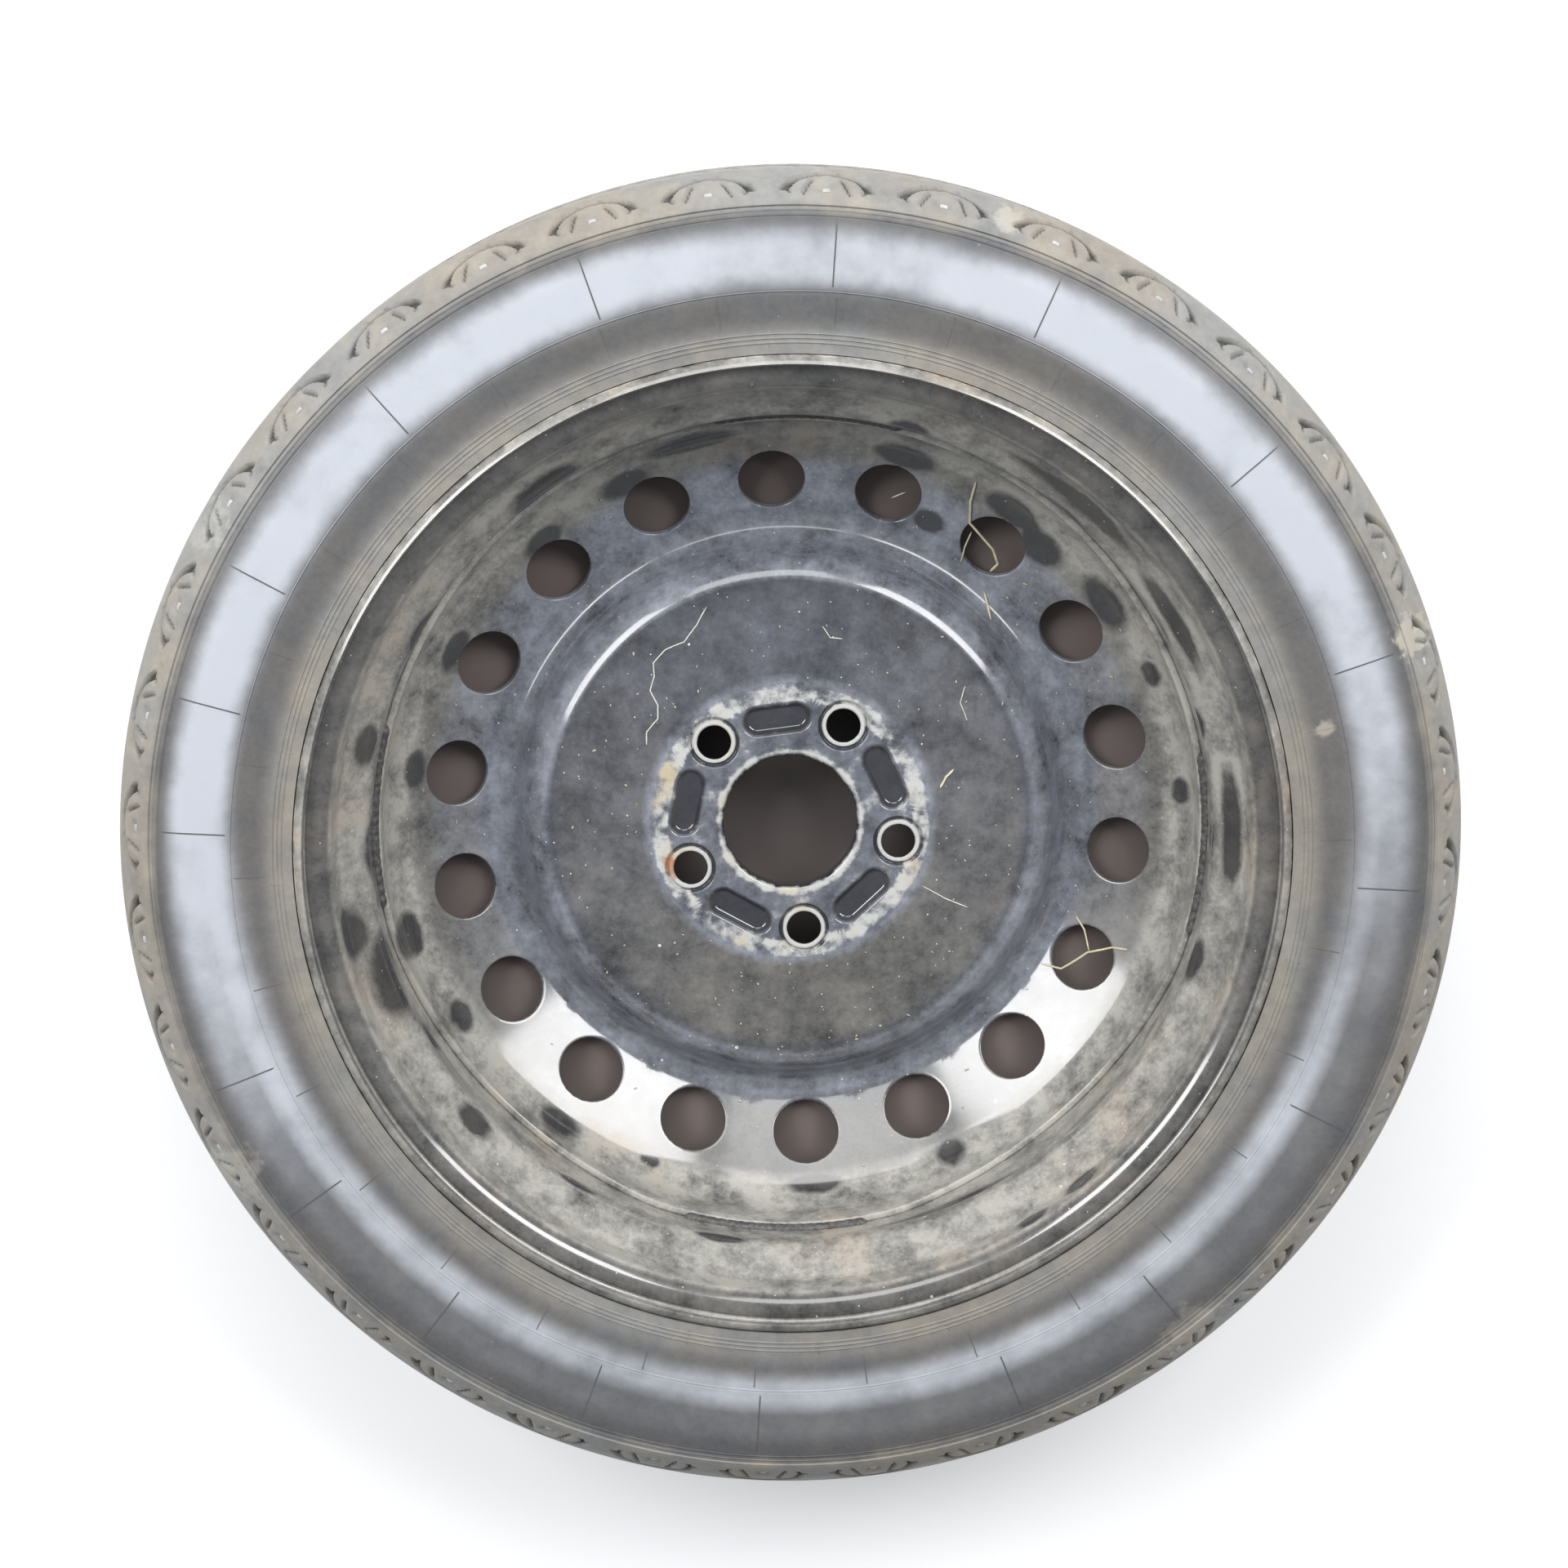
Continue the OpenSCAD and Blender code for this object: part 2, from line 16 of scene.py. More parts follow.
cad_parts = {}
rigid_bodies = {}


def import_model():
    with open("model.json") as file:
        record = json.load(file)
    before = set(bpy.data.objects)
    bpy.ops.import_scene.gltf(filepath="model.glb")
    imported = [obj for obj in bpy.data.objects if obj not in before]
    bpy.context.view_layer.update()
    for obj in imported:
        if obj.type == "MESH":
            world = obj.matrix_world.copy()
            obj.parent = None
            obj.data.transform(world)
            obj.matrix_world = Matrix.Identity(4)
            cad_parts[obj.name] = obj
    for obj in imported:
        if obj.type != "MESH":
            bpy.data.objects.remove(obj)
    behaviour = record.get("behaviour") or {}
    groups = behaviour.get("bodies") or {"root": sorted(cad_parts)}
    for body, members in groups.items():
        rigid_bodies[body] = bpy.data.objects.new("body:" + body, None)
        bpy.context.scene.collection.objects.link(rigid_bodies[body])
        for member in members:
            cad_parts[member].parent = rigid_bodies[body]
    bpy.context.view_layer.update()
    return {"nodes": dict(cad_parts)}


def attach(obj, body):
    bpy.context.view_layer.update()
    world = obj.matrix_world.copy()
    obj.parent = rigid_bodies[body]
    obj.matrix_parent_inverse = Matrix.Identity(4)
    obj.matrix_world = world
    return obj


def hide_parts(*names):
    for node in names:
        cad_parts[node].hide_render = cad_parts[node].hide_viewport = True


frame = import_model()
print("nodes:", sorted(frame["nodes"]))

# %% [markdown]
# ## The camera
# The photograph was fitted as a pinhole picture of circles whose real sizes are known: vents, bolt holes and rim.
# The fit gives the wheel's tilt and pan against the camera and its distance. A camera is a matrix whose columns
# are its right, up and backward directions and its place, so the fit turns straight into one.

# %% Camera from the fitted pose
def placed(columns, place):
    """Matrix of an object whose own axes are the given columns, at a place in metres."""
    matrix = np.eye(4)
    matrix[:3, :3] = np.column_stack(columns)
    matrix[:3, 3] = place
    return Matrix(matrix.tolist())


LENS_PX = 4000.0
FRAME_PX = 1920
SENSOR_MM = 36.0
TILT = np.radians(10.915)
PAN = np.radians(-1.175)
WHEEL_FROM_CAMERA = np.array([4.70, 34.19, 1513.7])
FIT_PLANE_Z = 60.0
FLIP = np.array([1.0, -1.0, -1.0])

about_x = np.array([[1, 0, 0], [0, np.cos(TILT), -np.sin(TILT)], [0, np.sin(TILT), np.cos(TILT)]])
about_y = np.array([[np.cos(PAN), 0, np.sin(PAN)], [0, 1, 0], [-np.sin(PAN), 0, np.cos(PAN)]])
to_camera = about_y @ about_x
camera_mm = -to_camera.T @ WHEEL_FROM_CAMERA * FLIP + [0, 0, FIT_PLANE_Z]
right, down, ahead = to_camera * FLIP
camera = bpy.data.objects.new("camera", bpy.data.cameras.new("camera"))
camera.data.sensor_width = SENSOR_MM
camera.data.lens = SENSOR_MM * LENS_PX / FRAME_PX
camera.matrix_world = placed([right, -down, -ahead], camera_mm / 1000)
bpy.context.scene.collection.objects.link(camera)
bpy.context.scene.camera = camera
print("camera at", camera_mm.round(0), "mm, lens", camera.data.lens, "mm")

# %% [markdown]
# ## Light, floor and background
# The bowl of the disc mirrors two soft lights, one at the upper left and one at the upper right, each about 46
# degrees off the camera's axis. Large area lamps stand there, and a weaker one between them lights the top of the
# wheel. The world is a pale blue-grey that fills the shadows.

# %% Three soft boxes and the world
def soft_box(name, azimuth, off_axis, distance, size, watts):
    """Square area lamp that faces the wheel. Azimuth is clockwise from the top of the picture and off_axis is the
    angle from straight above, both in degrees."""
    lamp = bpy.data.objects.new(name, bpy.data.lights.new(name, "AREA"))
    a, b = np.radians([azimuth, off_axis])
    place = distance * np.array([np.sin(a) * np.sin(b), np.cos(a) * np.sin(b), np.cos(b)])
    back = place / np.linalg.norm(place)
    side = np.cross([0.0, 0.0, 1.0], back)
    side /= np.linalg.norm(side)
    lamp.matrix_world = placed([side, np.cross(back, side), back], place)
    lamp.data.shape = "SQUARE"
    lamp.data.size = size
    lamp.data.energy = watts
    bpy.context.scene.collection.objects.link(lamp)


soft_box("soft_box_left", azimuth=-60, off_axis=46, distance=2.2, size=1.05, watts=31)
soft_box("soft_box_right", azimuth=46, off_axis=45, distance=2.2, size=1.05, watts=31)
soft_box("soft_box_top", azimuth=-7, off_axis=46, distance=2.4, size=1.2, watts=17)

world = bpy.data.worlds.new("studio")
bpy.context.scene.world = world
world.use_nodes = True
backdrop = world.node_tree.nodes["Background"]
backdrop.inputs["Color"].default_value = (0.80, 0.84, 0.90, 1)
backdrop.inputs["Strength"].default_value = 0.34
bpy.context.scene.view_settings.view_transform = "Standard"

# %% [markdown]
# ## Meshes from grids of numbers
# Every piece here is a surface worked out with numpy. A grid of points has rows and columns; neighbouring points
# become quads. The same few helpers round a path, join rows into faces and put the result into Blender.

# %% Path and grid helpers
MM = 0.001

def unit(vectors):
    """Vectors scaled to length one."""
    return vectors / np.linalg.norm(vectors, axis=-1, keepdims=True)


def rounded(points, radii, turn=6.0):
    """Path with each inner corner replaced by an arc of its own radius that touches both sides. The arc's middle
    lies on the corner's bisector at radius / sin(half the corner's angle); turn is its largest step in degrees."""
    points = np.asarray(points, float)
    path = [points[:1]]
    for before, corner, after, radius in zip(points, points[1:], points[2:], radii):
        if radius <= 0:
            path.append(corner[None])
            continue
        back, forth = unit(before - corner), unit(after - corner)
        half = np.arccos(np.clip(back @ forth, -1, 1)) / 2
        middle = corner + unit(back + forth) * radius / np.sin(half)
        first = corner + back * radius / np.tan(half) - middle
        side = np.sign(np.cross(corner - before, after - corner))
        sweep = (np.pi - 2 * half) * side
        steps = max(2, int(np.ceil(abs(np.degrees(sweep)) / turn)))
        a = np.arctan2(first[1], first[0]) + np.linspace(0, sweep, steps + 1)
        path.append(middle + radius * np.column_stack([np.cos(a), np.sin(a)]))
    path.append(points[-1:])
    return np.concatenate(path)


def refined(path, longest):
    """Path with every straight run longer than the given length divided evenly."""
    lengths = np.linalg.norm(np.diff(path, axis=0), axis=1)
    counts = np.maximum(1, np.ceil(lengths / longest - 1e-9).astype(int))
    starts = np.repeat(path[:-1], counts, axis=0)
    runs = np.repeat(np.diff(path, axis=0), counts, axis=0)
    order = np.concatenate([np.arange(count) / count for count in counts])
    return np.concatenate([starts + runs * order[:, None], path[-1:]])


def leftward(path):
    """Unit normal at each point of a path, to the left of its direction: the mean of the two neighbouring runs."""
    runs = unit(np.diff(path, axis=0))
    runs = np.concatenate([runs[:1], runs, runs[-1:]])
    mean = unit(runs[:-1] + runs[1:])
    return np.column_stack([-mean[:, 1], mean[:, 0]])


def grid_quads(rows, columns, wrap_rows=False, wrap_columns=True):
    """Quads of a grid whose point (i, j) has number i * columns + j, joined round where a direction wraps."""
    i = np.arange(rows if wrap_rows else rows - 1)[:, None]
    j = np.arange(columns if wrap_columns else columns - 1)[None, :]
    ahead_i, ahead_j = (i + 1) % rows, (j + 1) % columns
    corners = [i * columns + j, i * columns + ahead_j, ahead_i * columns + ahead_j, ahead_i * columns + j]
    return np.stack(np.broadcast_arrays(*corners), axis=-1).reshape(-1, 4)


def around(r, a, z):
    """Points (r cos a, r sin a, z), for radii, angles and heights that broadcast together."""
    return np.stack(np.broadcast_arrays(r * np.cos(a), r * np.sin(a), z + 0 * a), axis=-1)


def turned(path, angles):
    """Surface of revolution about Z: each path point (r, z) at each angle."""
    return around(path[:, :1], angles, path[:, 1:])


def piece(name, parts, replaces=(), body="wheel", crease=40.0, merge=0.0, marks=None):
    """Object made of (points in mm, faces) parts. Points closer than merge mm become one, the faces are turned
    outwards, and edges sharper than crease degrees stay sharp under smooth shading. marks is a function from the
    points to numbers per point under some names, kept as attributes that a material can read."""
    counts = np.cumsum([0] + [len(points.reshape(-1, 3)) for points, _ in parts])
    vertices = np.concatenate([points.reshape(-1, 3) for points, _ in parts]) * MM
    faces = [(np.asarray(quads) + start).tolist() for (_, quads), start in zip(parts, counts)]
    mesh = bpy.data.meshes.new(name)
    mesh.from_pydata(vertices.tolist(), [], [face for group in faces for face in group])
    for mark_name, values in (marks(vertices / MM) if marks else {}).items():
        mesh.attributes.new(mark_name, "FLOAT", "POINT").data.foreach_set("value", np.ravel(values).astype("f"))
    if merge:
        work = bmesh.new()
        work.from_mesh(mesh)
        bmesh.ops.remove_doubles(work, verts=work.verts, dist=merge * MM)
        bmesh.ops.recalc_face_normals(work, faces=work.faces)
        work.to_mesh(mesh)
        work.free()
    mesh.validate()
    mesh.shade_smooth()
    mesh.set_sharp_from_angle(angle=np.radians(crease))
    thing = bpy.data.objects.new(name, mesh)
    bpy.context.scene.collection.objects.link(thing)
    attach(thing, body)
    if replaces:
        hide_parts(*replaces)
    print(f"{name}: {len(mesh.vertices)} points, {len(mesh.polygons)} faces")
    return thing


# %% [markdown]
# ## The wheel's sizes
# The rim's and the disc's profiles are the CAD model's own, in millimetres, with the radius first and the height
# second. They are repeated here because finer arcs, dirt marks and painted highlights are placed along them.

# %% Sizes that several pieces share
TYRE_R, TYRE_HALF_W = 316.0, 64.0
SEAT_R, HALF_RIM_W, FLANGE_R = 218.3, 50.8, 232.0
WELL_R, RIM_T = 203.5, 2.5
CURL_R, HEEL_R, SEAT_SLOPE = 6.0, 6.5, np.tan(np.radians(5))
DISC_T, PAD_Z, PAD_R = 3.5, -24.0, 68.0
SKIRT_R = WELL_R - RIM_T - 0.1 - DISC_T
VENT_R, VENT_Z, VENT_HOLE_R = 165.0, PAD_Z - 24.7, 16.2
BOWL_RISE, WALL_RISE, DOME_FALL = np.tan(np.radians([27, 65, 10]))
DOME_R = 126.5
DOME_Z = PAD_Z - (DOME_R - PAD_R) * DOME_FALL
VALLEY_R = (DOME_Z + WALL_RISE * DOME_R - VENT_Z + BOWL_RISE * VENT_R) / (BOWL_RISE + WALL_RISE)
VALLEY_Z = DOME_Z - WALL_RISE * (VALLEY_R - DOME_R)
BOWL_END_Z = VENT_Z + BOWL_RISE * (SKIRT_R - VENT_R)
DIP_Z, DIP_DEPTH, DIP_HALF = BOWL_END_Z + 15.2, 15.0, np.radians(27)
LOBE_Z = DIP_Z + DIP_DEPTH
VENTS, BOLTS, LOBES = 18, 5, 4
VENT_TURN, BOLT_TURN = 360 / VENTS, 360 / BOLTS
BOLT_CIRCLE_R, POCKET_R, POCKET_REACH = 54.0, 51.0, 9.5
VENT_CLOCKWISE, BOLT_CLOCKWISE, LOBE_CLOCKWISE = -3.2, 28.5, 2.0
VENT_PHASE, BOLT_PHASE, LOBE_PHASE = np.radians([90 - VENT_CLOCKWISE, 90 - BOLT_CLOCKWISE, 90 - LOBE_CLOCKWISE])
print("skirt radius", SKIRT_R, "valley at", round(VALLEY_R, 1), round(VALLEY_Z, 1))

# %% [markdown]
# ## Where the dust, wear and painted light lie
# Dust, wiped spots, stains, painted highlights and a painted blue reflection are kept on the meshes as numbers per
# point, worked out from where the point is.
# The spots are ovals: each spans some degrees round the wheel and some millimetres across the ring.

# %% Ovals on the metal, and the marks of disc and rim
def ovals(across, clockwise, spots):
    """How deep each point lies in the nearest oval: 1 in its middle, 0.5 on its outline, 0 twice as far out. A
    spot is (first angle, last angle, first place across, last place across)."""
    depth = np.zeros_like(across)
    for a_from, a_to, from_, to in spots:
        off = (clockwise - (a_from + a_to) / 2 + 180) % 360 - 180
        far = np.hypot(off / ((a_to - a_from) / 2), (across - (from_ + to) / 2) / ((to - from_) / 2))
        depth = np.maximum(depth, 1 - far / 2)
    return depth


def between(value, low, high, soft):
    """1 from low to high, falling to 0 over a soft distance outside."""
    return np.clip((value - low) / soft + 1, 0, 1) * np.clip((high - value) / soft + 1, 0, 1)


def polar(points):
    """Radius, height and degrees clockwise from the top of the picture for each point."""
    x, y, z = points.T
    return np.hypot(x, y), z, np.degrees(np.arctan2(x, y)) % 360


def off_nearest(clockwise, first, turn):
    """Angle in radians from the nearest of the places that start at first and repeat every turn degrees."""
    return np.radians((clockwise - first + turn / 2) % turn - turn / 2)


HAND_MARKS = [(13, 22, 180, 191), (22, 28, 154, 164), (31, 40, 179, 191), (39, 46, 173, 187), (51, 60, 180, 193),
              (66, 70, 186, 194), (152, 157, 184, 195), (172, 180, 185, 193), (200, 203, 186, 192),
              (213, 220, 187, 197), (236, 241, 186, 196), (250, 256, 190, 199), (274, 280, 180, 190),
              (293, 300, 178, 188), (315, 322, 176, 186), (330, 338, 176, 188), (338, 352, 186, 194),
              (84, 88, 188, 196)]


def disc_marks(points):
    """Dust on the disc by ring: thin on the dome, thicker in the valley, on the bowl's upper half and the skirt.
    The valley's thicker film is partly dust and partly painted light on a shaded hollow. Worn paint lies on the
    hub face, and rust beside one of the bolt seats. The pale ring at the pad's edge is wear and painted highlight
    together, and the pale rings at the bore's rounded edge and round the bolt seats are painted highlight. Where
    the dust looks
    bluish is a painted blue reflection: the hub face, the valley, and the upper half inside the vents' outer edge."""
    r, z, clockwise = polar(points)
    upper_half = 0.5 + 0.5 * np.cos(np.radians(clockwise - 350))
    hub, valley = between(r, 30, 69, 3), between(r, 120, 150, 6)
    # The valley's film, from 121 to 147 mm, is partly dust and partly painted light.
    dust = (0.30 * hub * (0.15 + 0.85 * (z > PAD_Z - 0.6)) + (0.29 - 0.14 * upper_half) * between(r, 72, 115, 6)
            + 0.42 * between(r, 121, 147, 4) + (0.20 + 0.34 * upper_half) * between(r, 152, 182, 5)
            + 0.80 * between(r, 188, 210, 6))
    off_bolt = off_nearest(clockwise, BOLT_CLOCKWISE, BOLT_TURN)
    from_bolt = np.hypot(r * np.cos(off_bolt) - BOLT_CIRCLE_R, r * np.sin(off_bolt))
    # Wear and painted highlight: worn paint on the hub face and the pad's edge, and pale rings of painted
    # highlight at the pad's edge, the bore's rounded edge and round the bolt seats.
    wear_and_highlight = (0.56 * between(r, 61, 68, 2) + 0.36 * between(r, 36, 60, 3) + 0.5 * between(r, 32.8, 35, 0.6)
            + 0.6 * between(from_bolt, 8.7, 10.2, 0.4)) * (z > PAD_Z - 2)
    # The bluish tint of the dust is a painted reflection.
    return {"dust": dust, "wear_and_highlight": wear_and_highlight, "wiped": ovals(r, clockwise, HAND_MARKS),
            "rust": ovals(r, clockwise, [(243, 254, 58, 66)]),
            "painted_blue_reflection": between(r, 30, 172, 8) * np.clip(upper_half + valley + hub, 0, 1),
            "flecks": between(r, 70, 150, 6) + 0.7 * between(r, 150, 200, 4)}


BARREL_DRIPS = [(29, 50, 24, 33), (52, 67, 22, 30), (34, 44, 8, 20), (57, 63, 4, 18), (81, 96, 22, 32),
                (88, 92, 6, 18), (104, 110, 14, 24), (117, 121, 0, 6), (127, 140, 4, 9), (146, 168, 4, 11),
                (137, 142, 34, 44), (145, 150, 38, 46), (186, 193, 14, 20), (208, 214, 10, 18),
                (225, 231, 18, 28), (230, 243, 2, 14), (245, 257, 6, 30), (255, 262, 24, 44),
                (264, 272, -4, 20), (280, 286, 18, 30), (296, 303, 10, 22), (320, 331, 14, 28),
                (345, 350, 8, 16), (1.2, 2.2, 0, 26), (356.5, 357.5, 2, 22), (13, 18, 14, 24),
                (72, 76, 10, 20)]


def rim_marks(points):
    """Dust on the rim: thick on the barrel, where it is wiped in spots, and thin on the channel beside the flange
    and on the flange. The pale line on the flange's lip is wear and painted highlight together.
    """
    r, z, clockwise = polar(points)
    dust = 0.76 * between(r, 190, 216, 1.5) + 0.24 * between(r, 217.5, 226, 1) + 0.6 * between(r, 227.5, 240, 1)
    dust = np.where(z > -30, dust, 0.6)
    # The pale line on the flange's lip is wear and painted highlight together.
    return {"dust": dust, "wiped": ovals(z, clockwise, BARREL_DRIPS) * (r < 217),
            "wear_and_highlight": 0.54 * between(r, 231.2, 240, 0.5) * between(z, 50, 70, 1), "rust": 0 * r,
            "flecks": 0.7 + 0 * r}


# %% [markdown]
# ## The disc
# One sheet of steel, deep-drawn and pierced. A revolve alone can't carry round holes, so the sheet is laid out as
# rings of cells: plain rings where it is round, and round each hole a patch whose inner edge is the hole and whose
# outer edge is the cell, with lines running from one to the other. Both faces come from the same plan: a point is
# lifted to the pressed profile, and goes down along the profile's normal by its depth in the sheet.

# %% Pressed profile, and a point of the sheet over its plan
disc_path = refined(rounded(
    [[30, PAD_Z], [PAD_R, PAD_Z], [DOME_R, DOME_Z], [VALLEY_R, VALLEY_Z], [SKIRT_R, BOWL_END_Z], [SKIRT_R, 0]],
    [6, 18, 12, 24], turn=2.5), 5.0)
disc_normal = leftward(disc_path)
sloping = disc_path[:, 0] < SKIRT_R - 0.01
plan_r = disc_path[sloping, 0]


def lift(r, a, depth):
    """Point of the sheet over the plan point (r, a): the profile's point minus depth times its normal."""
    z, n_r, n_z = (np.interp(r, plan_r, column) for column in
                   (disc_path[sloping, 1], disc_normal[sloping, 0], disc_normal[sloping, 1]))
    out = r - depth * n_r / np.hypot(n_r, n_z)
    up = z - depth * n_z / np.hypot(n_r, n_z)
    return around(out, a, up)


# %% Angles of the rings: cells of bolt holes and pockets near the hub, cells of vents in the bowl
RING = 180
BOLT_SHARE, POCKET_SHARE = 15.2, 20.8
bolt_cell = np.linspace(-BOLT_SHARE, BOLT_SHARE, 17)
pocket_cell = BOLT_SHARE + np.linspace(0, 2 * POCKET_SHARE, 21)
hub_cells = BOLT_TURN * np.arange(BOLTS)[:, None] + np.append(bolt_cell[:-1], pocket_cell[:-1])
hub_angles = BOLT_PHASE + np.radians(hub_cells.ravel())
step = np.radians(360 / RING)
vent_angles = np.round((hub_angles[0] - VENT_PHASE) / step) * step + VENT_PHASE + step * np.arange(RING)
print("largest shift between the rings' angles:", np.degrees(np.abs(vent_angles - hub_angles).max()).round(1))


def cell_edge(angles, r_low, r_high, steps):
    """Points round a cell of the plan, anticlockwise seen from above: out along the last angle, back over the
    outer side, in along the first angle and over the inner side."""
    climb = np.linspace(0, 1, steps + 1)[:-1]
    r = np.concatenate([r_low + (r_high - r_low) * climb, r_high + 0 * angles[:0:-1],
                        r_high + (r_low - r_high) * climb, r_low + 0 * angles[:-1]])
    a = np.concatenate([angles[-1] + 0 * climb, angles[:0:-1], angles[0] + 0 * climb, angles[:-1]])
    return r, a


def patch(edge, middle, ring_path, edge_rows, squeeze=1.0, reach=0.0):
    """Closed sheet between a cell's edge and the shape in its middle. Each edge point has a line to the middle:
    to the nearest point of a stretch of half-length reach that lies across the radius. Ring points lie on these
    lines at the distances of ring_path, whose second column is their depth; squeeze shortens radial distances on a
    slope. Rows run from the cell's upper edge to the rings and on to the lower edge."""
    (edge_r, edge_a), (middle_r, middle_a) = edge, middle
    along = (edge_r * np.cos(edge_a - middle_a) - middle_r) / squeeze
    across = edge_r * np.sin(edge_a - middle_a)
    start = np.clip(across, -reach, reach)
    length = np.hypot(along, across - start)
    ray = np.stack([along, across - start]) / length
    distance, depth = ring_path.T
    ring_along = distance[:, None] * ray[0]
    ring_across = start + distance[:, None] * ray[1]
    share = np.linspace(0, 1, edge_rows + 1)[1:-1][:, None]
    upper_along = along + (ring_along[0] - along) * share
    upper_across = across + (ring_across[0] - across) * share
    lower_along = ring_along[-1] + (along - ring_along[-1]) * share
    lower_across = ring_across[-1] + (across - ring_across[-1]) * share
    all_along = np.concatenate([upper_along, ring_along, lower_along]) * squeeze + middle_r
    all_across = np.concatenate([upper_across, ring_across, lower_across])
    r = np.concatenate([edge_r[None], np.hypot(all_along, all_across), edge_r[None]])
    a = np.concatenate([edge_a[None], middle_a + np.arctan2(all_across, all_along), edge_a[None]])
    depths = np.concatenate([np.full(edge_rows, ring_path[0, 1]), depth, np.full(edge_rows, ring_path[-1, 1])])
    return lift(r, a, depths[:, None]), grid_quads(len(r), len(edge_r))


# %% Bolt seats, pockets and vents
HUB_IN, HUB_OUT, BOWL_IN, BOWL_OUT = 37.6, 69.0, 147.5, 183.5
seat_ring = refined(rounded(
    [[14, 0], [12.7, 0], [11.7, 2], [10.9, 2], [10.1, 0.3], [8.8, 0.3], [8.2, 0.9], [8.2, 2.3], [10, 5.5],
     [12.6, 5.5], [14, DISC_T]], [0.6, 0.5, 0.4, 0.35, 0.3, 0.3, 0, 0.5, 0.5], turn=20), 1.6)
pocket_ring = refined(rounded([[8.5, 0], [7.9, 0], [4.6, 2.8], [0, 2.8]], [1.0, 1.4], turn=9), 2.0)
pocket_back = refined(rounded([[0, 6.3], [5.2, 6.3], [8.5, DISC_T]], [1.0], turn=15), 3.0)
pocket_sheet = np.concatenate([pocket_ring, pocket_back])
edge_turn = np.radians(np.linspace(0, 90, 5))
ROLL, ROLL_START = 0.7, VENT_HOLE_R + 1.6
roll_in = np.column_stack([VENT_HOLE_R + ROLL * (1 - np.sin(edge_turn)), ROLL * (1 - np.cos(edge_turn))])
vent_ring = np.concatenate([[[ROLL_START, 0]], roll_in, roll_in[::-1] * [1, -1] + [0, DISC_T],
                            [[ROLL_START, DISC_T]]])

disc_parts = []
for k in range(BOLTS):
    bolt_a = BOLT_PHASE + np.radians(BOLT_TURN * k)
    edge = cell_edge(bolt_a + np.radians(bolt_cell), HUB_IN, HUB_OUT, 14)
    disc_parts.append(patch(edge, (BOLT_CIRCLE_R, bolt_a), seat_ring, 3))
    edge = cell_edge(bolt_a + np.radians(pocket_cell), HUB_IN, HUB_OUT, 14)
    pocket_middle = (POCKET_R, bolt_a + np.radians(BOLT_TURN / 2))
    disc_parts.append(patch(edge, pocket_middle, pocket_sheet, 3, reach=POCKET_REACH))
for k in range(VENTS):
    vent_a = VENT_PHASE + np.radians(VENT_TURN * k)
    edge = cell_edge(vent_a + np.radians(VENT_TURN * np.linspace(-0.5, 0.5, 11)), BOWL_IN, BOWL_OUT, 10)
    disc_parts.append(patch(edge, (VENT_R, vent_a), vent_ring, 6, squeeze=np.cos(np.radians(27))))
print("patches:", len(disc_parts), "with", sum(len(quads) for _, quads in disc_parts), "faces")

# %% Plain rings over the dome, the bore with its collar, and the skirt with its four lobes
BORE_R, BORE_ROUND, COLLAR_WALL, COLLAR_Z = 32.55, 2.5, 3.5, PAD_Z - 9.5
dome_r = plan_r[(plan_r > HUB_OUT + 0.4) & (plan_r < BOWL_IN - 0.4)]
dome_r = np.concatenate([[HUB_OUT], dome_r, [BOWL_IN]])[:, None]
dome_a = hub_angles + (vent_angles - hub_angles) * (dome_r - HUB_OUT) / (BOWL_IN - HUB_OUT)
for depth in (0, DISC_T):
    disc_parts.append((lift(dome_r + 0 * dome_a, dome_a, depth), grid_quads(len(dome_r), RING)))

bore_path = refined(rounded(
    [[HUB_IN, PAD_Z], [BORE_R, PAD_Z], [BORE_R, COLLAR_Z], [BORE_R + COLLAR_WALL, COLLAR_Z],
     [BORE_R + COLLAR_WALL, PAD_Z - DISC_T], [HUB_IN, PAD_Z - DISC_T]], [BORE_ROUND, 0.6, 0.6, 0.6], turn=15), 3.0)
disc_parts.append((turned(bore_path, hub_angles), grid_quads(len(bore_path), RING)))


def skirt_end(a):
    """Height of the skirt's edge at angle a: the lobes' height, cut down by a circle arc in each gap between two
    lobes. The arc reaches DIP_HALF to each side of the gap's middle and is DIP_DEPTH deep."""
    half_chord = (WELL_R - RIM_T) * np.sin(DIP_HALF)
    dip_r = (half_chord ** 2 + DIP_DEPTH ** 2) / (2 * DIP_DEPTH)
    off = (a - LOBE_PHASE) % (np.pi / 2) - np.pi / 4
    sideways = (WELL_R - RIM_T) * np.sin(off)
    dip = DIP_Z + dip_r - np.sqrt(np.maximum(dip_r ** 2 - sideways ** 2, 0))
    return np.where(np.abs(off) < DIP_HALF, np.minimum(dip, LOBE_Z), LOBE_Z)


EDGE_ROLL = 0.8
bend_rows = (disc_path[:, 0] > BOWL_OUT + 0.3) & (disc_path[:, 1] < DIP_Z - 1.5)
bend, bend_normal = disc_path[bend_rows], disc_normal[bend_rows]
sheet_start = lift(np.full(2, BOWL_OUT), np.zeros(2), np.array([0, DISC_T]))[:, [0, 2]]
inner = np.concatenate([sheet_start[:1], bend])
outer = np.concatenate([sheet_start[1:], bend - DISC_T * bend_normal])
ends = skirt_end(vent_angles) - EDGE_ROLL
rise = bend[-1, 1] + (ends - bend[-1, 1]) * np.array([0.2, 0.4, 0.6, 0.8, 1.0])[:, None]
tip_turn = np.radians(np.linspace(0, 180, 7))[1:-1, None]
tip_r = SKIRT_R + DISC_T / 2 * (1 - np.cos(tip_turn)) + 0 * ends
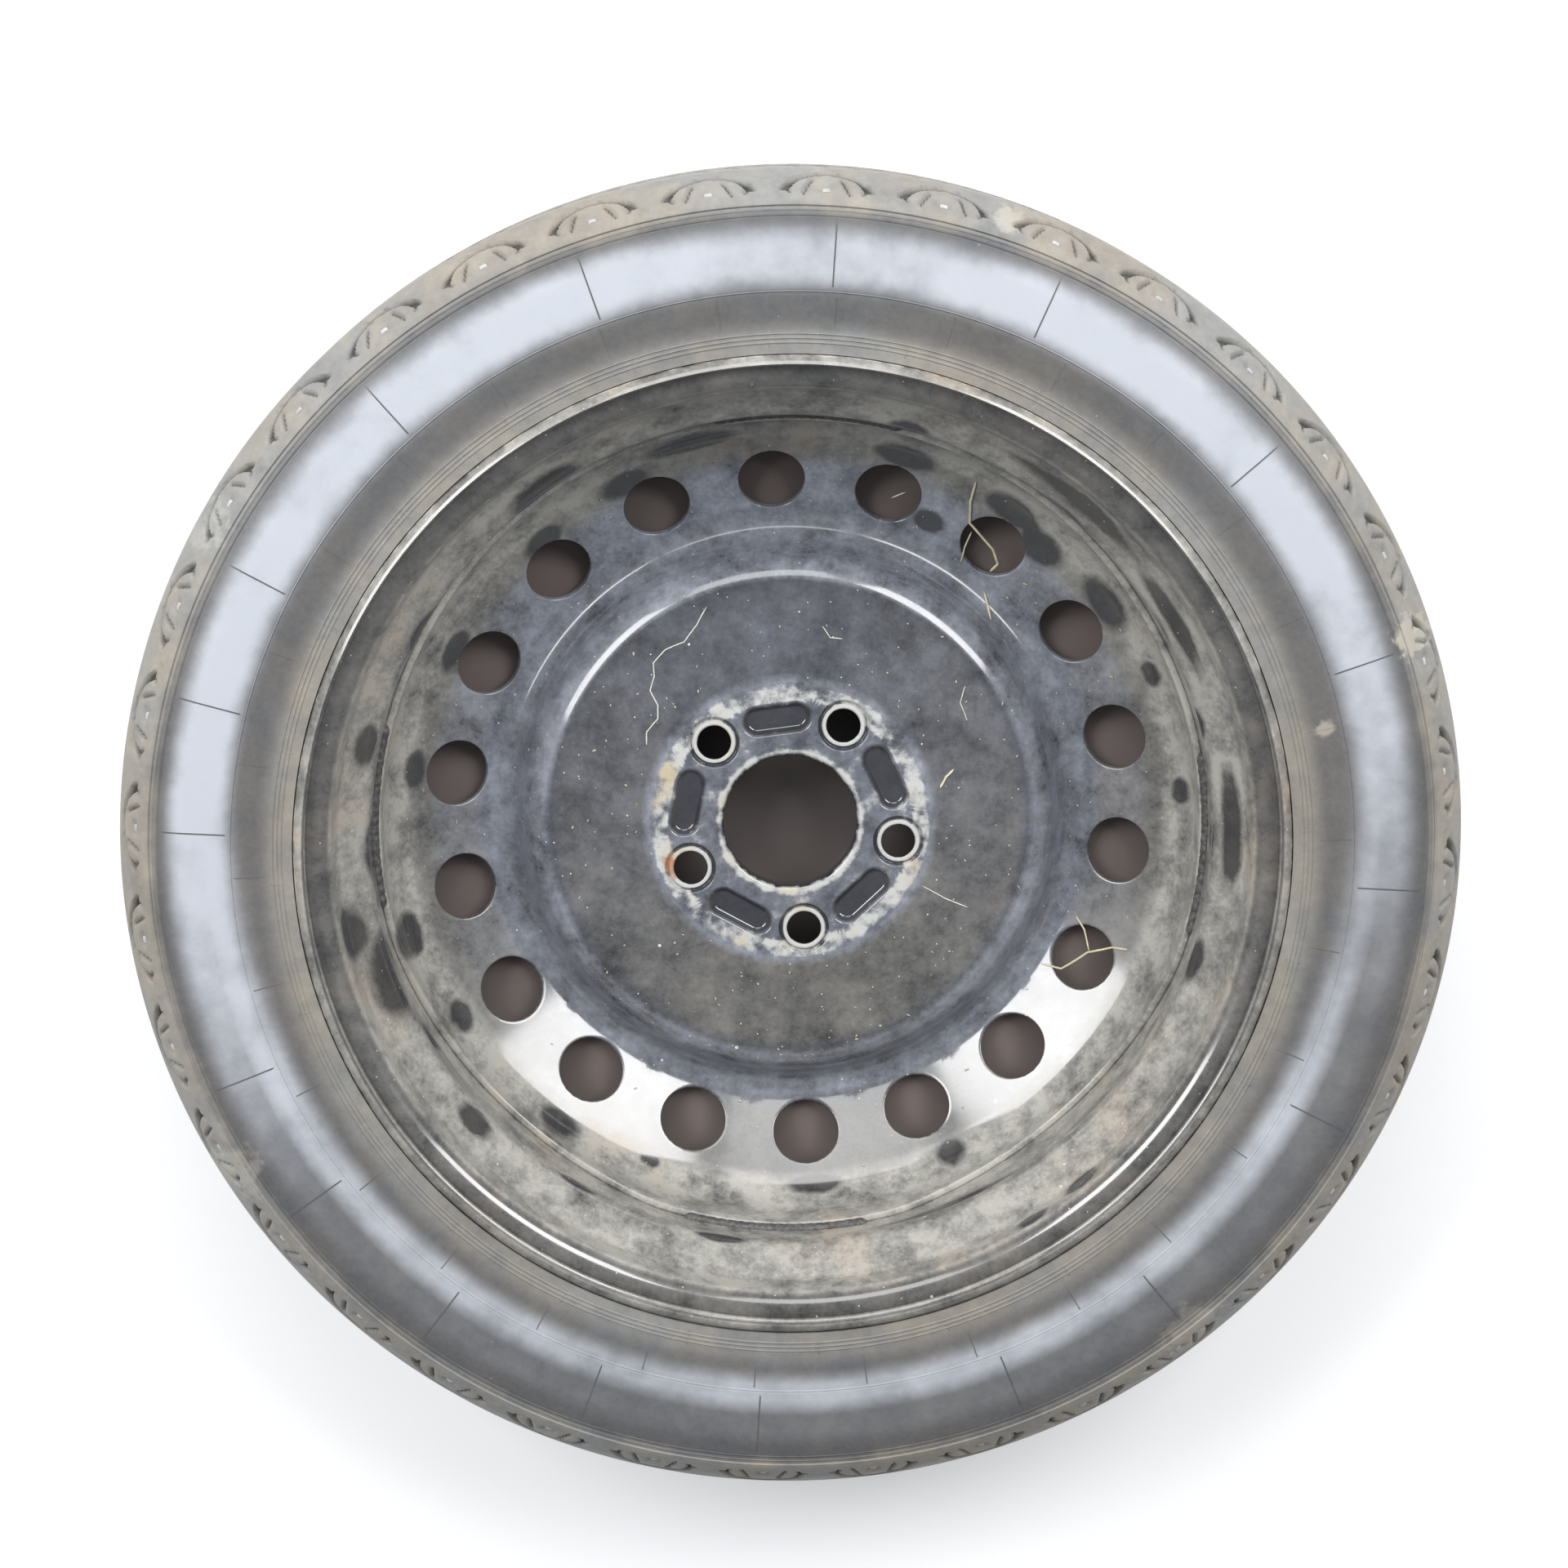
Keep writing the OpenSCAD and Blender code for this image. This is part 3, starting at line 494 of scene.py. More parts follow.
tip_z = ends + EDGE_ROLL * np.sin(tip_turn)
skirt_r = np.concatenate([inner[:, :1] + 0 * ends, SKIRT_R + 0 * rise, tip_r, SKIRT_R + DISC_T + 0 * rise,
                          outer[::-1, :1] + 0 * ends])
skirt_z = np.concatenate([inner[:, 1:] + 0 * ends, rise, tip_z, rise[::-1], outer[::-1, 1:] + 0 * ends])
disc_parts.append((around(skirt_r, vent_angles, skirt_z), grid_quads(len(skirt_r), RING)))
disc = piece("pressed_disc", disc_parts, replaces=["disc"], crease=38, merge=0.004,
             marks=disc_marks)

# %% [markdown]
# ## The rim
# A rolled steel ring of one thickness. Its outline is the CAD outline with finer arcs: the tyre side, and the same
# path shifted by the sheet's thickness. A revolve of the closed outline makes the ring.

# %% Rim outline and its revolve
def shifted(points, distance):
    """Path moved sideways to its right by a distance: each corner moves along the sum of its two sides' normals,
    divided by one plus their dot product, so that both sides stay parallel."""
    runs = unit(np.diff(points, axis=0))
    normals = np.column_stack([runs[:, 1], -runs[:, 0]])
    before, after = np.vstack([normals[:1], normals]), np.vstack([normals, normals[-1:]])
    return points + distance * (before + after) / (1 + np.sum(before * after, axis=1, keepdims=True))


def turn_signs(points):
    """For each inner corner, 1 for a left turn and -1 for a right turn."""
    runs = np.diff(points, axis=0)
    return np.sign(runs[:-1, 0] * runs[1:, 1] - runs[:-1, 1] * runs[1:, 0])


CURL_TURN = np.radians(70)
curl_tangent = CURL_R * np.tan(CURL_TURN / 2)
curl_corner = np.array([FLANGE_R, HALF_RIM_W + CURL_R + curl_tangent])
curl_end = curl_corner + (curl_tangent + 0.5) * np.array([-np.sin(CURL_TURN), np.cos(CURL_TURN)])
SEAT_IN, SEAT_OUT, WELL_IN_Z, WELL_OUT_Z = 17.8, 15.3, 17.0, -25.0
rim_path = np.array([
    curl_end, curl_corner, [FLANGE_R, HALF_RIM_W], [SEAT_R, HALF_RIM_W],
    [SEAT_R - SEAT_IN * SEAT_SLOPE, HALF_RIM_W - SEAT_IN], [WELL_R, WELL_IN_Z], [WELL_R, WELL_OUT_Z],
    [SEAT_R - SEAT_OUT * SEAT_SLOPE, SEAT_OUT - HALF_RIM_W], [SEAT_R, -HALF_RIM_W], [FLANGE_R, -HALF_RIM_W],
    curl_corner * [1, -1], curl_end * [1, -1]])
rim_radii = np.array([CURL_R, CURL_R, HEEL_R, 8, 8, 4.5, 4.5, HEEL_R, CURL_R, CURL_R])
air_radii = rim_radii + RIM_T * turn_signs(rim_path)
tyre_side = rounded(rim_path, rim_radii, turn=7.5)
air_side = rounded(shifted(rim_path, RIM_T), air_radii, turn=7.5)
rim_outline = refined(np.concatenate([tyre_side, air_side[::-1], tyre_side[:1]]), 6.0)[:-1]
rim_angles = np.radians(np.arange(0, 360, 1.25))
rim_quads = grid_quads(len(rim_outline), len(rim_angles), wrap_rows=True)
rim = piece("rolled_rim", [(turned(rim_outline, rim_angles), rim_quads)], replaces=["rim"],
            crease=50, merge=0.001, marks=rim_marks)

# %% [markdown]
# ## The tyre
# One casing of rubber with the tread on it. The casing is a revolve whose sidewalls carry fine moulded circles.
# The tread is cut by grooves that no revolve can hold, so each tread ring is a fine grid whose points are pressed
# in by a depth that depends on the place within one pitch of the pattern. The pattern repeats 36 times.

# %% Profile of the tyre
TREAD_HALF_W, WALL_T, TREAD_T, BEAD_W, BEAD_GAP = 42.0, 9.0, 13.0, 13.5, 0.1
RISE = TYRE_R - FLANGE_R
tread_line = rounded([[TYRE_R, 0], [TYRE_R - 1.6, TREAD_HALF_W], [TYRE_R - 8, 53], [TYRE_R - 17, 61.4],
                      [FLANGE_R + RISE * 0.62, 64], [FLANGE_R + RISE * 0.34, 64], [FLANGE_R + RISE * 0.13, 60.8],
                      [FLANGE_R + 1, HALF_RIM_W + CURL_R + 3.6]], [9, 9, 12, 40, 40, 6], turn=3)
tread_line = refined(tread_line, 1.0)
shoulder_end = int(np.argmax(tread_line[:, 0] < 298.4))
SEAT_TOE = [SEAT_R + BEAD_GAP - BEAD_W * SEAT_SLOPE, HALF_RIM_W - BEAD_W]
bead_line = rounded([[FLANGE_R + BEAD_GAP, HALF_RIM_W + CURL_R + 3], [FLANGE_R + BEAD_GAP, HALF_RIM_W - BEAD_GAP],
                     [SEAT_R + BEAD_GAP, HALF_RIM_W - BEAD_GAP], SEAT_TOE], [CURL_R + BEAD_GAP, HEEL_R - BEAD_GAP])
liner = rounded([SEAT_TOE, [SEAT_TOE[0] + 1.6, SEAT_TOE[1] - 1.2], [FLANGE_R + RISE * 0.05, 64 - WALL_T - 10],
                 [FLANGE_R + RISE * 0.26, 64 - WALL_T - 0.5], [FLANGE_R + RISE * 0.62, 64 - WALL_T],
                 [TYRE_R - TREAD_T - 1, TREAD_HALF_W], [TYRE_R - TREAD_T, 0]], [1, 14, 20, 30, 12])

# %% Casing with its moulded circles
BAND_IN, BAND_OUT = 260.0, 293.7
FINE_CIRCLES = [(293.7, 0.5, 0.5), (260.0, 0.45, 0.5), (296.0, 0.3, 0.4), (241.0, 0.4, 0.5), (239.0, 0.4, 0.5),
                (237.0, 0.4, 0.5)]


def moulded(path):
    """Sidewall path lowered by 0.6 mm, or 0.3 mm in the plain band between BAND_IN and BAND_OUT, with a ridge
    at each fine circle: its height falls off as a cosine over its half width."""
    stations = [path[:, 0]] + [np.array([r - 1.6 * w, r - w, r - w / 2, r, r + w / 2, r + w, r + 1.6 * w])
                               for r, _, w in FINE_CIRCLES]
    r = np.unique(np.round(np.concatenate(stations), 3))[::-1]
    r = r[(r <= path[0, 0]) & (r >= path[-1, 0])]
    z = np.interp(-r, -path[:, 0], path[:, 1])
    normal = np.column_stack([np.interp(-r, -path[:, 0], column) for column in leftward(path).T])
    band = np.clip((r - BAND_IN) / 0.8, 0, 1) * np.clip((BAND_OUT - r) / 0.8, 0, 1)
    height = -0.6 + 0.3 * band
    for place, tall, half in FINE_CIRCLES:
        near = np.clip(np.abs(r - place) / half, 0, 1)
        height = height + tall * (0.5 + 0.5 * np.cos(np.pi * near))
    return np.column_stack([r, z]) - height[:, None] * unit(normal)


def tyre_marks(points):
    """Painted sheen on the sidewall: a pale band that stands in for the lamps' soft sheen, strong at both upper
    sides of the picture, and a narrower one nearer to the rim at the bottom."""
    r, _, clockwise = polar(points)
    clockwise = (clockwise + 180) % 360 - 180
    upper = between(clockwise, -84, 60, 45) - 0.25 * between(clockwise, -8, 8, 15)
    lower = between(np.abs(clockwise), 112, 180, 30)
    band = between(r, 271, 279, 17)
    return {"painted_sheen": band * band * (3 - 2 * band) * (0.80 * upper + 0.20)
            + 0.55 * between(r, 257, 264, 8) * lower}


GROOVE_FLOOR = TYRE_R - 5.0
sidewall = moulded(tread_line[shoulder_end:])
half_casing = np.concatenate([[[GROOVE_FLOOR, 0], [GROOVE_FLOOR, 28], [309.0, 41.0], [303.0, 51.5], [296.0, 59.0]],
                              sidewall, bead_line, liner])
casing_outline = refined(np.concatenate([half_casing, half_casing[-2:0:-1] * [1, -1]]), 8.0)
casing_angles = np.radians(np.arange(0, 360, 1.5))
casing_quads = grid_quads(len(casing_outline), len(casing_angles), wrap_rows=True)
piece("tyre_casing", [(turned(casing_outline, casing_angles), casing_quads)], replaces=["tyre"],
      crease=50, merge=0.001, marks=tyre_marks)

# %% Pattern of one shoulder pitch
PITCHES, PITCH_COLUMNS = 36, 46
ARCH_PHASE = np.radians(90 - 2.5)
ARCH_R, ARCH_BELOW, ARCH_DEPTH = 22.4, 20.9, 3.2
BAR_R, PITCH_R = 305.2, 309
shoulder_line = tread_line[(tread_line[:, 1] >= 26.5)][:shoulder_end]
shoulder_line = shoulder_line[shoulder_line[:, 0] >= 298.0]
shoulder_v = np.concatenate([[0], np.cumsum(np.linalg.norm(np.diff(shoulder_line, axis=0), axis=1))])


def v_at(r):
    """Distance along the shoulder from its groove to the place where its radius is r."""
    return np.interp(-r, -shoulder_line[:, 0], shoulder_v)


def to_segment(u, v, p, q):
    """Distance of each (u, v) from the segment p-q."""
    (pu, pv), (qu, qv) = p, q
    share = np.clip(((u - pu) * (qu - pu) + (v - pv) * (qv - pv)) / ((qu - pu) ** 2 + (qv - pv) ** 2), 0, 1)
    return np.hypot(u - pu - share * (qu - pu), v - pv - share * (qv - pv))


def cut(distance, half_width, depth, wall=0.9):
    """Depth of a groove: full up to half_width from its middle line, then falling to none over the wall."""
    s = np.clip((half_width + wall - distance) / wall, 0, 1)
    return depth * s * s * (3 - 2 * s)


def shoulder_depth(u, v):
    """Depth of the shoulder's pattern at distance u from a pitch's middle and v from the tread groove."""
    side = np.abs(u)
    middle_v = v_at(311.0) + ARCH_BELOW
    ring = np.abs(np.hypot(u, v - middle_v) - ARCH_R)
    open_part = np.clip((v_at(304.6) - v) / 1.5, 0, 1)
    arch = cut(ring, 0.7 + 0.8 * np.clip((v - v_at(309.0)) / 8, 0, 1), ARCH_DEPTH) * open_part
    sipe = cut(to_segment(side, v, (7.0, v_at(309.0)), (10.7, v_at(303.5))), 0.35, 2.0)
    branch = cut(to_segment(side, v, (16.6, v_at(303.8)), (19.6, v_at(306.6))), 0.35, 1.6)
    bar = cut(np.maximum(side - 3.2, np.abs(v - v_at(BAR_R)) - 1.4), 0.0, 0.9, wall=0.6)
    dot = -cut(np.hypot(side - 27.0, v - v_at(302.8)), 1.0, 0.5)
    edge_sipe = cut(to_segment(np.minimum(side, np.abs(side - 13.5)), v, (0.0, -1.0), (0.0, 7.0)), 0.4, 3.0)
    return np.maximum.reduce([arch, sipe, branch, bar, edge_sipe]) + dot


def tread_ring(name, top, depth, angles, under, side):
    """Closed ring of rubber: the top path pressed in along its normal by a depth for each row and angle, then
    the path underneath. side is 1 for the half towards the car and -1 for its mirror image."""
    normal = unit(-leftward(top))
    none = np.zeros((len(under), depth.shape[1]))
    r = np.concatenate([top[:, :1] - depth * normal[:, :1], under[:, :1] + none])
    z = np.concatenate([top[:, 1:] - depth * normal[:, 1:], under[:, 1:] + none])
    quads = grid_quads(*r.shape, wrap_rows=True)
    pressed = np.concatenate([depth / ARCH_DEPTH, none])
    piece(name, [(around(r, angles, side * z), quads if side < 0 else quads[:, ::-1])], replaces=["tyre"],
          crease=60, marks=lambda points: {"pressed": pressed})


columns = np.arange(PITCHES * PITCH_COLUMNS)
ring_angles = ARCH_PHASE + 2 * np.pi * columns / len(columns)
from_middle = (columns + PITCH_COLUMNS / 2) % PITCH_COLUMNS - PITCH_COLUMNS / 2
pitch_u = from_middle * 2 * np.pi * PITCH_R / len(columns)
shoulder_press = shoulder_depth(pitch_u[None, :], shoulder_v[:, None])
shoulder_under = np.array([[296.2, 59.4], [302.0, 51.0], [308.0, 40.5], [309.5, 26.5]])
print("shoulder rows:", len(shoulder_line), "columns:", len(columns))
for name, side in (("tread_shoulder_car_side", 1), ("tread_shoulder_outer_side", -1)):
    tread_ring(name, shoulder_line, shoulder_press, ring_angles, shoulder_under, side)

# %% Small pale bars, one in the middle of each arch
BAR_STEPS, BAR_WIDTHS = (-1.1, 0.0, 1.1), np.array([-3.0, -1.0, 1.0, 3.0])
BAR_SUNK, BAR_BODY = np.array([1.6, 0.55, 0.55, 1.6]), 1.05


def bars(side):
    """A low block per pitch that follows the shoulder over three rows, 6 mm wide, with its foot in the rubber."""
    rows = [int(np.argmin(np.abs(shoulder_v - v_at(BAR_R) - step))) for step in BAR_STEPS]
    line, normal = shoulder_line[rows], unit(-leftward(shoulder_line)[rows])
    r = line[:, :1] - BAR_SUNK * normal[:, :1]
    z = side * (line[:, 1:] - BAR_SUNK * normal[:, 1:])
    blocks = []
    for k in range(PITCHES):
        a = ARCH_PHASE + 2 * np.pi * k / PITCHES + BAR_WIDTHS / 305
        points = around(r, a, z)
        foot = points.copy()
        foot[:, 1:3] -= BAR_BODY * around(normal[:, :1], a[1:3], side * normal[:, 1:])
        ends = [np.stack([points[row], foot[row]]) for row in (0, -1)]
        blocks += [(part, grid_quads(len(part), 4, wrap_columns=False)) for part in (points, foot, *ends)]
    return blocks


for name, side in (("tread_bars_car_side", 1), ("tread_bars_outer_side", -1)):
    piece(name, bars(side), replaces=["tyre"], merge=0.001)

# %% Two ribs with slanted sipes between the three grooves
SIPES, SIPE_SLANT, SIPE_DEPTH = 144, 0.012, 3.5
RIB_IN, RIB_OUT, RIB_FLOOR = 3.5, 19.5, 309.5
rib_z = np.linspace(RIB_IN, RIB_OUT, 17)
rib_top = np.column_stack([np.interp(rib_z, tread_line[:, 1], tread_line[:, 0]), rib_z])
sipe_u = np.array([-0.9, -0.5, 0.5, 0.9, 4.6, 9.2])
period = 2 * np.pi * TYRE_R / SIPES
rib_u = (np.arange(SIPES)[:, None] * period + sipe_u).ravel()
rib_share = (rib_top[:, 1:] - (RIB_IN + RIB_OUT) / 2) / ((RIB_OUT - RIB_IN) / 2)
rib_angles = ARCH_PHASE + rib_u / TYRE_R + SIPE_SLANT * rib_share
rib_under = np.array([[RIB_FLOOR, RIB_OUT], [RIB_FLOOR, RIB_IN]])
rib_angles = np.concatenate([rib_angles, rib_angles[-1:], rib_angles[:1]])
rib_press = cut(np.abs(np.tile(sipe_u, (len(rib_z), SIPES))), 0.5, SIPE_DEPTH, wall=0.4)
for name, side in (("tread_rib_car_side", 1), ("tread_rib_outer_side", -1)):
    tread_ring(name, rib_top, rib_press, rib_angles, rib_under, side)

# %% [markdown]
# ## Fine lines of the tyre mould
# Where the mould's sections meet, thin lines stand on the sidewall. Each is a small closed strip laid along the
# sidewall's own profile, so that it stays a real raised line in any light.

# %% Mould lines on both sidewalls
def mould_lines(places, width, rise):
    """Strips along the radius: each place is (clockwise degrees, inner radius, outer radius). A strip's section
    is a low trapezium whose foot is buried in the rubber, and its ends are lower."""
    strips = []
    across = np.array([-0.5, -0.3, 0.3, 0.5])
    rises = np.array([-0.4, rise, rise, -0.4])
    for clockwise, r_in, r_out in places:
        r = np.linspace(r_in, r_out, 14)[:, None]
        a = np.radians(90 - clockwise) + across * width / r
        z = np.interp(-r, -sidewall[:, 0], sidewall[:, 1]) + rises
        z[[0, -1]] -= 0.5
        points = around(r, a, z)
        corners = np.arange(4)[None]
        strips += [(points, grid_quads(14, 4)), (points[:1], corners[:, ::-1]), (points[-1:], corners)]
    return strips


SECTION_LINES = [3.5, 24, 48.8, 70.7, 93, 116.8, 140.5, 157.7, 183.3, 200.2, 217, 234, 247.7, 272.5, 285, 298,
                 318.3, 340.4]
lines = mould_lines([(c, 260.5, 293.0) for c in SECTION_LINES], 0.9, 0.22)
lines += mould_lines([(4.0 + 12 * k, 243.5, 259.5) for k in range(30)], 0.7, 0.18)
lines += mould_lines([(12.0 + 15 * k, 234.5, 243.0) for k in range(24)], 0.9, 0.2)
for name, side in (("mould_lines_car_side", 1), ("mould_lines_outer_side", -1)):
    piece(name, [(points * [1, 1, side], quads) for points, quads in lines], replaces=["tyre"],
          merge=0.001)

# %% [markdown]
# ## The weld beads
# Four short beads hold the lobes of the disc's skirt in the rim. A bead is a quarter-round of metal with the
# ripples that the arc leaves, so its section's size rises and falls along it.

# %% Rippled beads in the corner of skirt and rim
WELD_LEG, WELD_HALF, BARREL_R = 3.0, np.radians(13), WELL_R - RIM_T - 0.05
along = np.linspace(-WELD_HALF, WELD_HALF, 121)
corner_turn = np.radians(np.linspace(0, 90, 7))
swell = np.sin(np.clip((WELD_HALF - np.abs(along)) / np.radians(0.8), 0, 1) * np.pi / 2)
ripple = WELD_LEG * (0.86 + 0.1 * np.abs(np.sin(along * 130))) * (0.25 + 0.75 * swell)
beads = []
for k in range(LOBES):
    a = LOBE_PHASE + k * np.pi / 2 + along[:, None]
    leg = ripple[:, None]
    r = np.concatenate([BARREL_R - leg * np.sin(corner_turn), BARREL_R + 0 * leg], axis=1)
    z = np.concatenate([LOBE_Z + leg * np.cos(corner_turn), LOBE_Z + 0 * leg], axis=1)
    points = around(r, a, z)
    caps = [(points[:1], np.arange(8)[None]), (points[-1:], np.arange(8)[None, ::-1])]
    beads += [(points, grid_quads(len(along), 8))] + caps
piece("weld_ripples", beads, replaces=["weld_beads"], crease=35, merge=0.001)

# %% [markdown]
# ## Straw, lint and grit
# Loose bits lie on the disc: a few straws beside and over the vents, threads of lint on the dome, and grit.
# Each is a thin tube with pointed ends that follows the sheet's face, so one function makes all of them.

# %% Thin tubes over the face of the disc
def strand(spots, thick):
    """Closed tube through spots of (radius, degrees clockwise from the top), thick mm across in its middle."""
    spots = np.array(spots, dtype=float)
    steps = np.linspace(0, len(spots) - 1, 6 * (len(spots) - 1) + 1)
    r, clockwise = (np.interp(steps, range(len(spots)), column) for column in spots.T)
    line = lift(r, np.radians(90 - clockwise), -0.4 * thick)
    along = unit(np.gradient(line, axis=0))
    across = unit(np.cross(along, [0.0, 0.0, 1.0]))
    up = np.cross(across, along)
    half = 0.5 * thick * np.sqrt(np.clip(np.minimum(steps, steps[-1] - steps) * 3, 0, 1))[:, None, None]
    turns = np.linspace(0, 2 * np.pi, 6, endpoint=False)[None, :, None]
    rings = line[:, None] + half * (np.cos(turns) * across[:, None] + np.sin(turns) * up[:, None])
    return rings, grid_quads(len(line), 6)


STRAWS = [([(188.5, 28.4), (178, 29.4), (168.6, 31.3), (166, 34.5), (164.3, 37.2), (160.1, 39.6),
            (154.4, 39.5)], 1.3),
          ([(145.4, 41.1), (136.5, 46.6)], 1.2), ([(165.6, 32.4), (157, 33.1), (148.7, 34.4)], 0.8),
          ([(150.2, 122), (159.5, 120.6), (166.3, 115.6), (175.4, 112.9), (183, 112)], 1.1),
          ([(154, 110.6), (160.4, 112.3), (167, 115.5)], 0.9), ([(84, 72.2), (79, 74), (74.5, 77.6)], 1.2)]
LINT = [([(112.5, 338.9), (106, 334.5), (101.7, 329.5), (103.5, 324), (102, 319.2), (97, 317), (93.4, 313.1),
          (86, 311.5), (81.8, 308.1), (82.5, 302), (79, 297.8)], 0.7),
        ([(72.1, 116.5), (86, 117.2), (99.8, 116.7)], 0.6), ([(163.1, 17.4), (168.8, 19.5)], 0.7),
        ([(97, 9), (92, 12), (93, 16)], 0.5), ([(108, 52), (101, 55), (99, 61)], 0.5)]
rng = np.random.default_rng(11)
spot_r = np.concatenate([rng.uniform(74, 122, 80), rng.uniform(148, 186, 90)])
spot_turn = rng.uniform(0, 360, len(spot_r))
off_vent = off_nearest(spot_turn, VENT_CLOCKWISE, VENT_TURN)
solid = np.hypot(spot_r * np.cos(off_vent) - VENT_R, spot_r * np.sin(off_vent)) > VENT_HOLE_R + 6
GRIT = [([(r, turn), (r + dr, turn + dt)], thick) for r, turn, dr, dt, thick in zip(
    spot_r[solid], spot_turn[solid], rng.uniform(-2, 2, 200), rng.uniform(-1, 1, 200), rng.uniform(0.5, 1.2, 200))]
for name, strands in (("straw_bits", STRAWS), ("lint_threads", LINT), ("grit", GRIT)):
    piece(name, [strand(*one) for one in strands], crease=60, merge=0.0005)

# %% [markdown]
# ## Building finishes from sums
# A finish is a small calculation: how much dust lies here, and so how dark and how glossy it is. The class below
# wraps a node's output, so that the calculation can be written as plain sums and Blender's nodes follow from it.

# %% Signals of a node tree
class Signal:
    """An output of a material's node tree. Sums with numbers or other signals add Math nodes."""

    def __init__(self, tree, socket=None):
        self.tree, self.socket = tree, socket

    def node(self, kind, settings=None, inputs=None, output=0):
        """Adds a node of a type, with its settings first and then a value or a signal for each named input."""
        made = self.tree.nodes.new("ShaderNode" + kind)
        for key, value in (settings or {}).items():
            setattr(made, key, value)
        for key, value in (inputs or {}).items():
            if isinstance(value, Signal):
                self.tree.links.new(value.socket, made.inputs[key])
            else:
                made.inputs[key].default_value = (*value, 1) if np.shape(value) == (3,) and \
                    made.inputs[key].type == "RGBA" else value
        return Signal(self.tree, made.outputs[output])

    def sum_of(self, operation, *others, clamp=False):
        inputs = dict(enumerate((self, *others)))
        return self.node("Math", {"operation": operation, "use_clamp": clamp}, inputs)

    __add__ = __radd__ = partialmethod(sum_of, "ADD")
    __sub__ = partialmethod(sum_of, "SUBTRACT")
    __mul__ = __rmul__ = partialmethod(sum_of, "MULTIPLY")
    __truediv__ = partialmethod(sum_of, "DIVIDE")
    most = partialmethod(sum_of, "MAXIMUM")
    clipped = partialmethod(sum_of, "ADD", 0.0, clamp=True)

    def __rsub__(self, other):
        return self * -1.0 + other

    def vector(self, operation, other=None, output=0):
        """Vector Math node on this signal and, where its operation takes one, a second vector."""
        inputs = {0: self} if other is None else {0: self, 1: other}
        return self.node("VectorMath", {"operation": operation}, inputs, output)

    def rising(self, low, high):
        """0 below low, 1 above high and a smooth step between; high below low makes it fall."""
        return self.node("MapRange", {"interpolation_type": "SMOOTHSTEP"},
                         {"Value": self, "From Min": low, "From Max": high})

    def blend(self, low, high):
        """Colour low where the signal is 0 and high where it is 1."""
        return self.node("Mix", {"data_type": "RGBA"}, {0: self, 6: low, 7: high}, output=2)


def finish(name, **constants):
    """New material with its Principled shader's fixed numbers set; gives it with a signal to start from."""
    material = bpy.data.materials.new(name)
    material.use_nodes = True
    shader = material.node_tree.nodes["Principled BSDF"]
    for socket, value in constants.items():
        shader.inputs[socket.replace("_", " ")].default_value = value
    return material, shader, Signal(material.node_tree)


def connect(shader, **signals):
    """Links signals to the Principled shader's inputs."""
    for socket, signal in signals.items():
        signal.tree.links.new(signal.socket, shader.inputs[socket.replace("_", " ")])


def place_in(start):
    """Object coordinates in millimetres, and the distance from the wheel's axis."""
    metres = start.node("TexCoord", output=3)
    mm = metres.node("VectorMath", {"operation": "SCALE"}, {0: metres, "Scale": 1 / MM})
    return mm, mm.vector("MULTIPLY", (1, 1, 0)).vector("LENGTH", output=1)


def mark(start, name):
    """The number kept on the mesh under a name by piece()."""
    return start.node("Attribute", {"attribute_name": name}, output=2)


def grain(mm, size, detail=3.0, roughness=0.55):
    """Noise from 0 to 1 whose lumps are about size millimetres across."""
    inputs = {"Vector": mm, "Scale": 0.6 / size, "Detail": detail, "Roughness": roughness}
    return mm.node("TexNoise", {}, inputs)


def specks(mm, spacing, radius, share):
    """Small round specks: cells spacing millimetres wide, of which a share has a speck of up to a radius."""
    cells = {"Vector": mm, "Scale": 1.0 / spacing}
    distance = mm.node("TexVoronoi", {}, cells)
    chance = mm.node("SeparateColor", {}, {0: mm.node("TexVoronoi", {}, cells, output=1)})
    lucky = chance.rising(share, share * 0.9) * (chance / share * -0.6 + 1.0)
    return (distance - lucky * (radius / spacing)).rising(0.0, -0.1 * radius / spacing)


def near(mm, clockwise, radius, size):
    """1 at a place given by its clockwise angle and radius, falling to 0 at size millimetres from it."""
    a = np.radians(90 - clockwise)
    spot = (radius * float(np.cos(a)), radius * float(np.sin(a)), 0)
    return mm.vector("MULTIPLY", (1, 1, 0)).vector("DISTANCE", spot, output=1).rising(size, 0.0)


# %% [markdown]
# ## Black paint under dust
# The steel is gloss black. Years in a car's boot left a film of dust on everything that isn't steep, and hands,
# straps and drips wiped it off again in spots. piece() kept how dusty and how wiped each place is; noise
# breaks up their soft edges. Dust makes the paint pale and matt at once, so one signal drives colour and gloss.

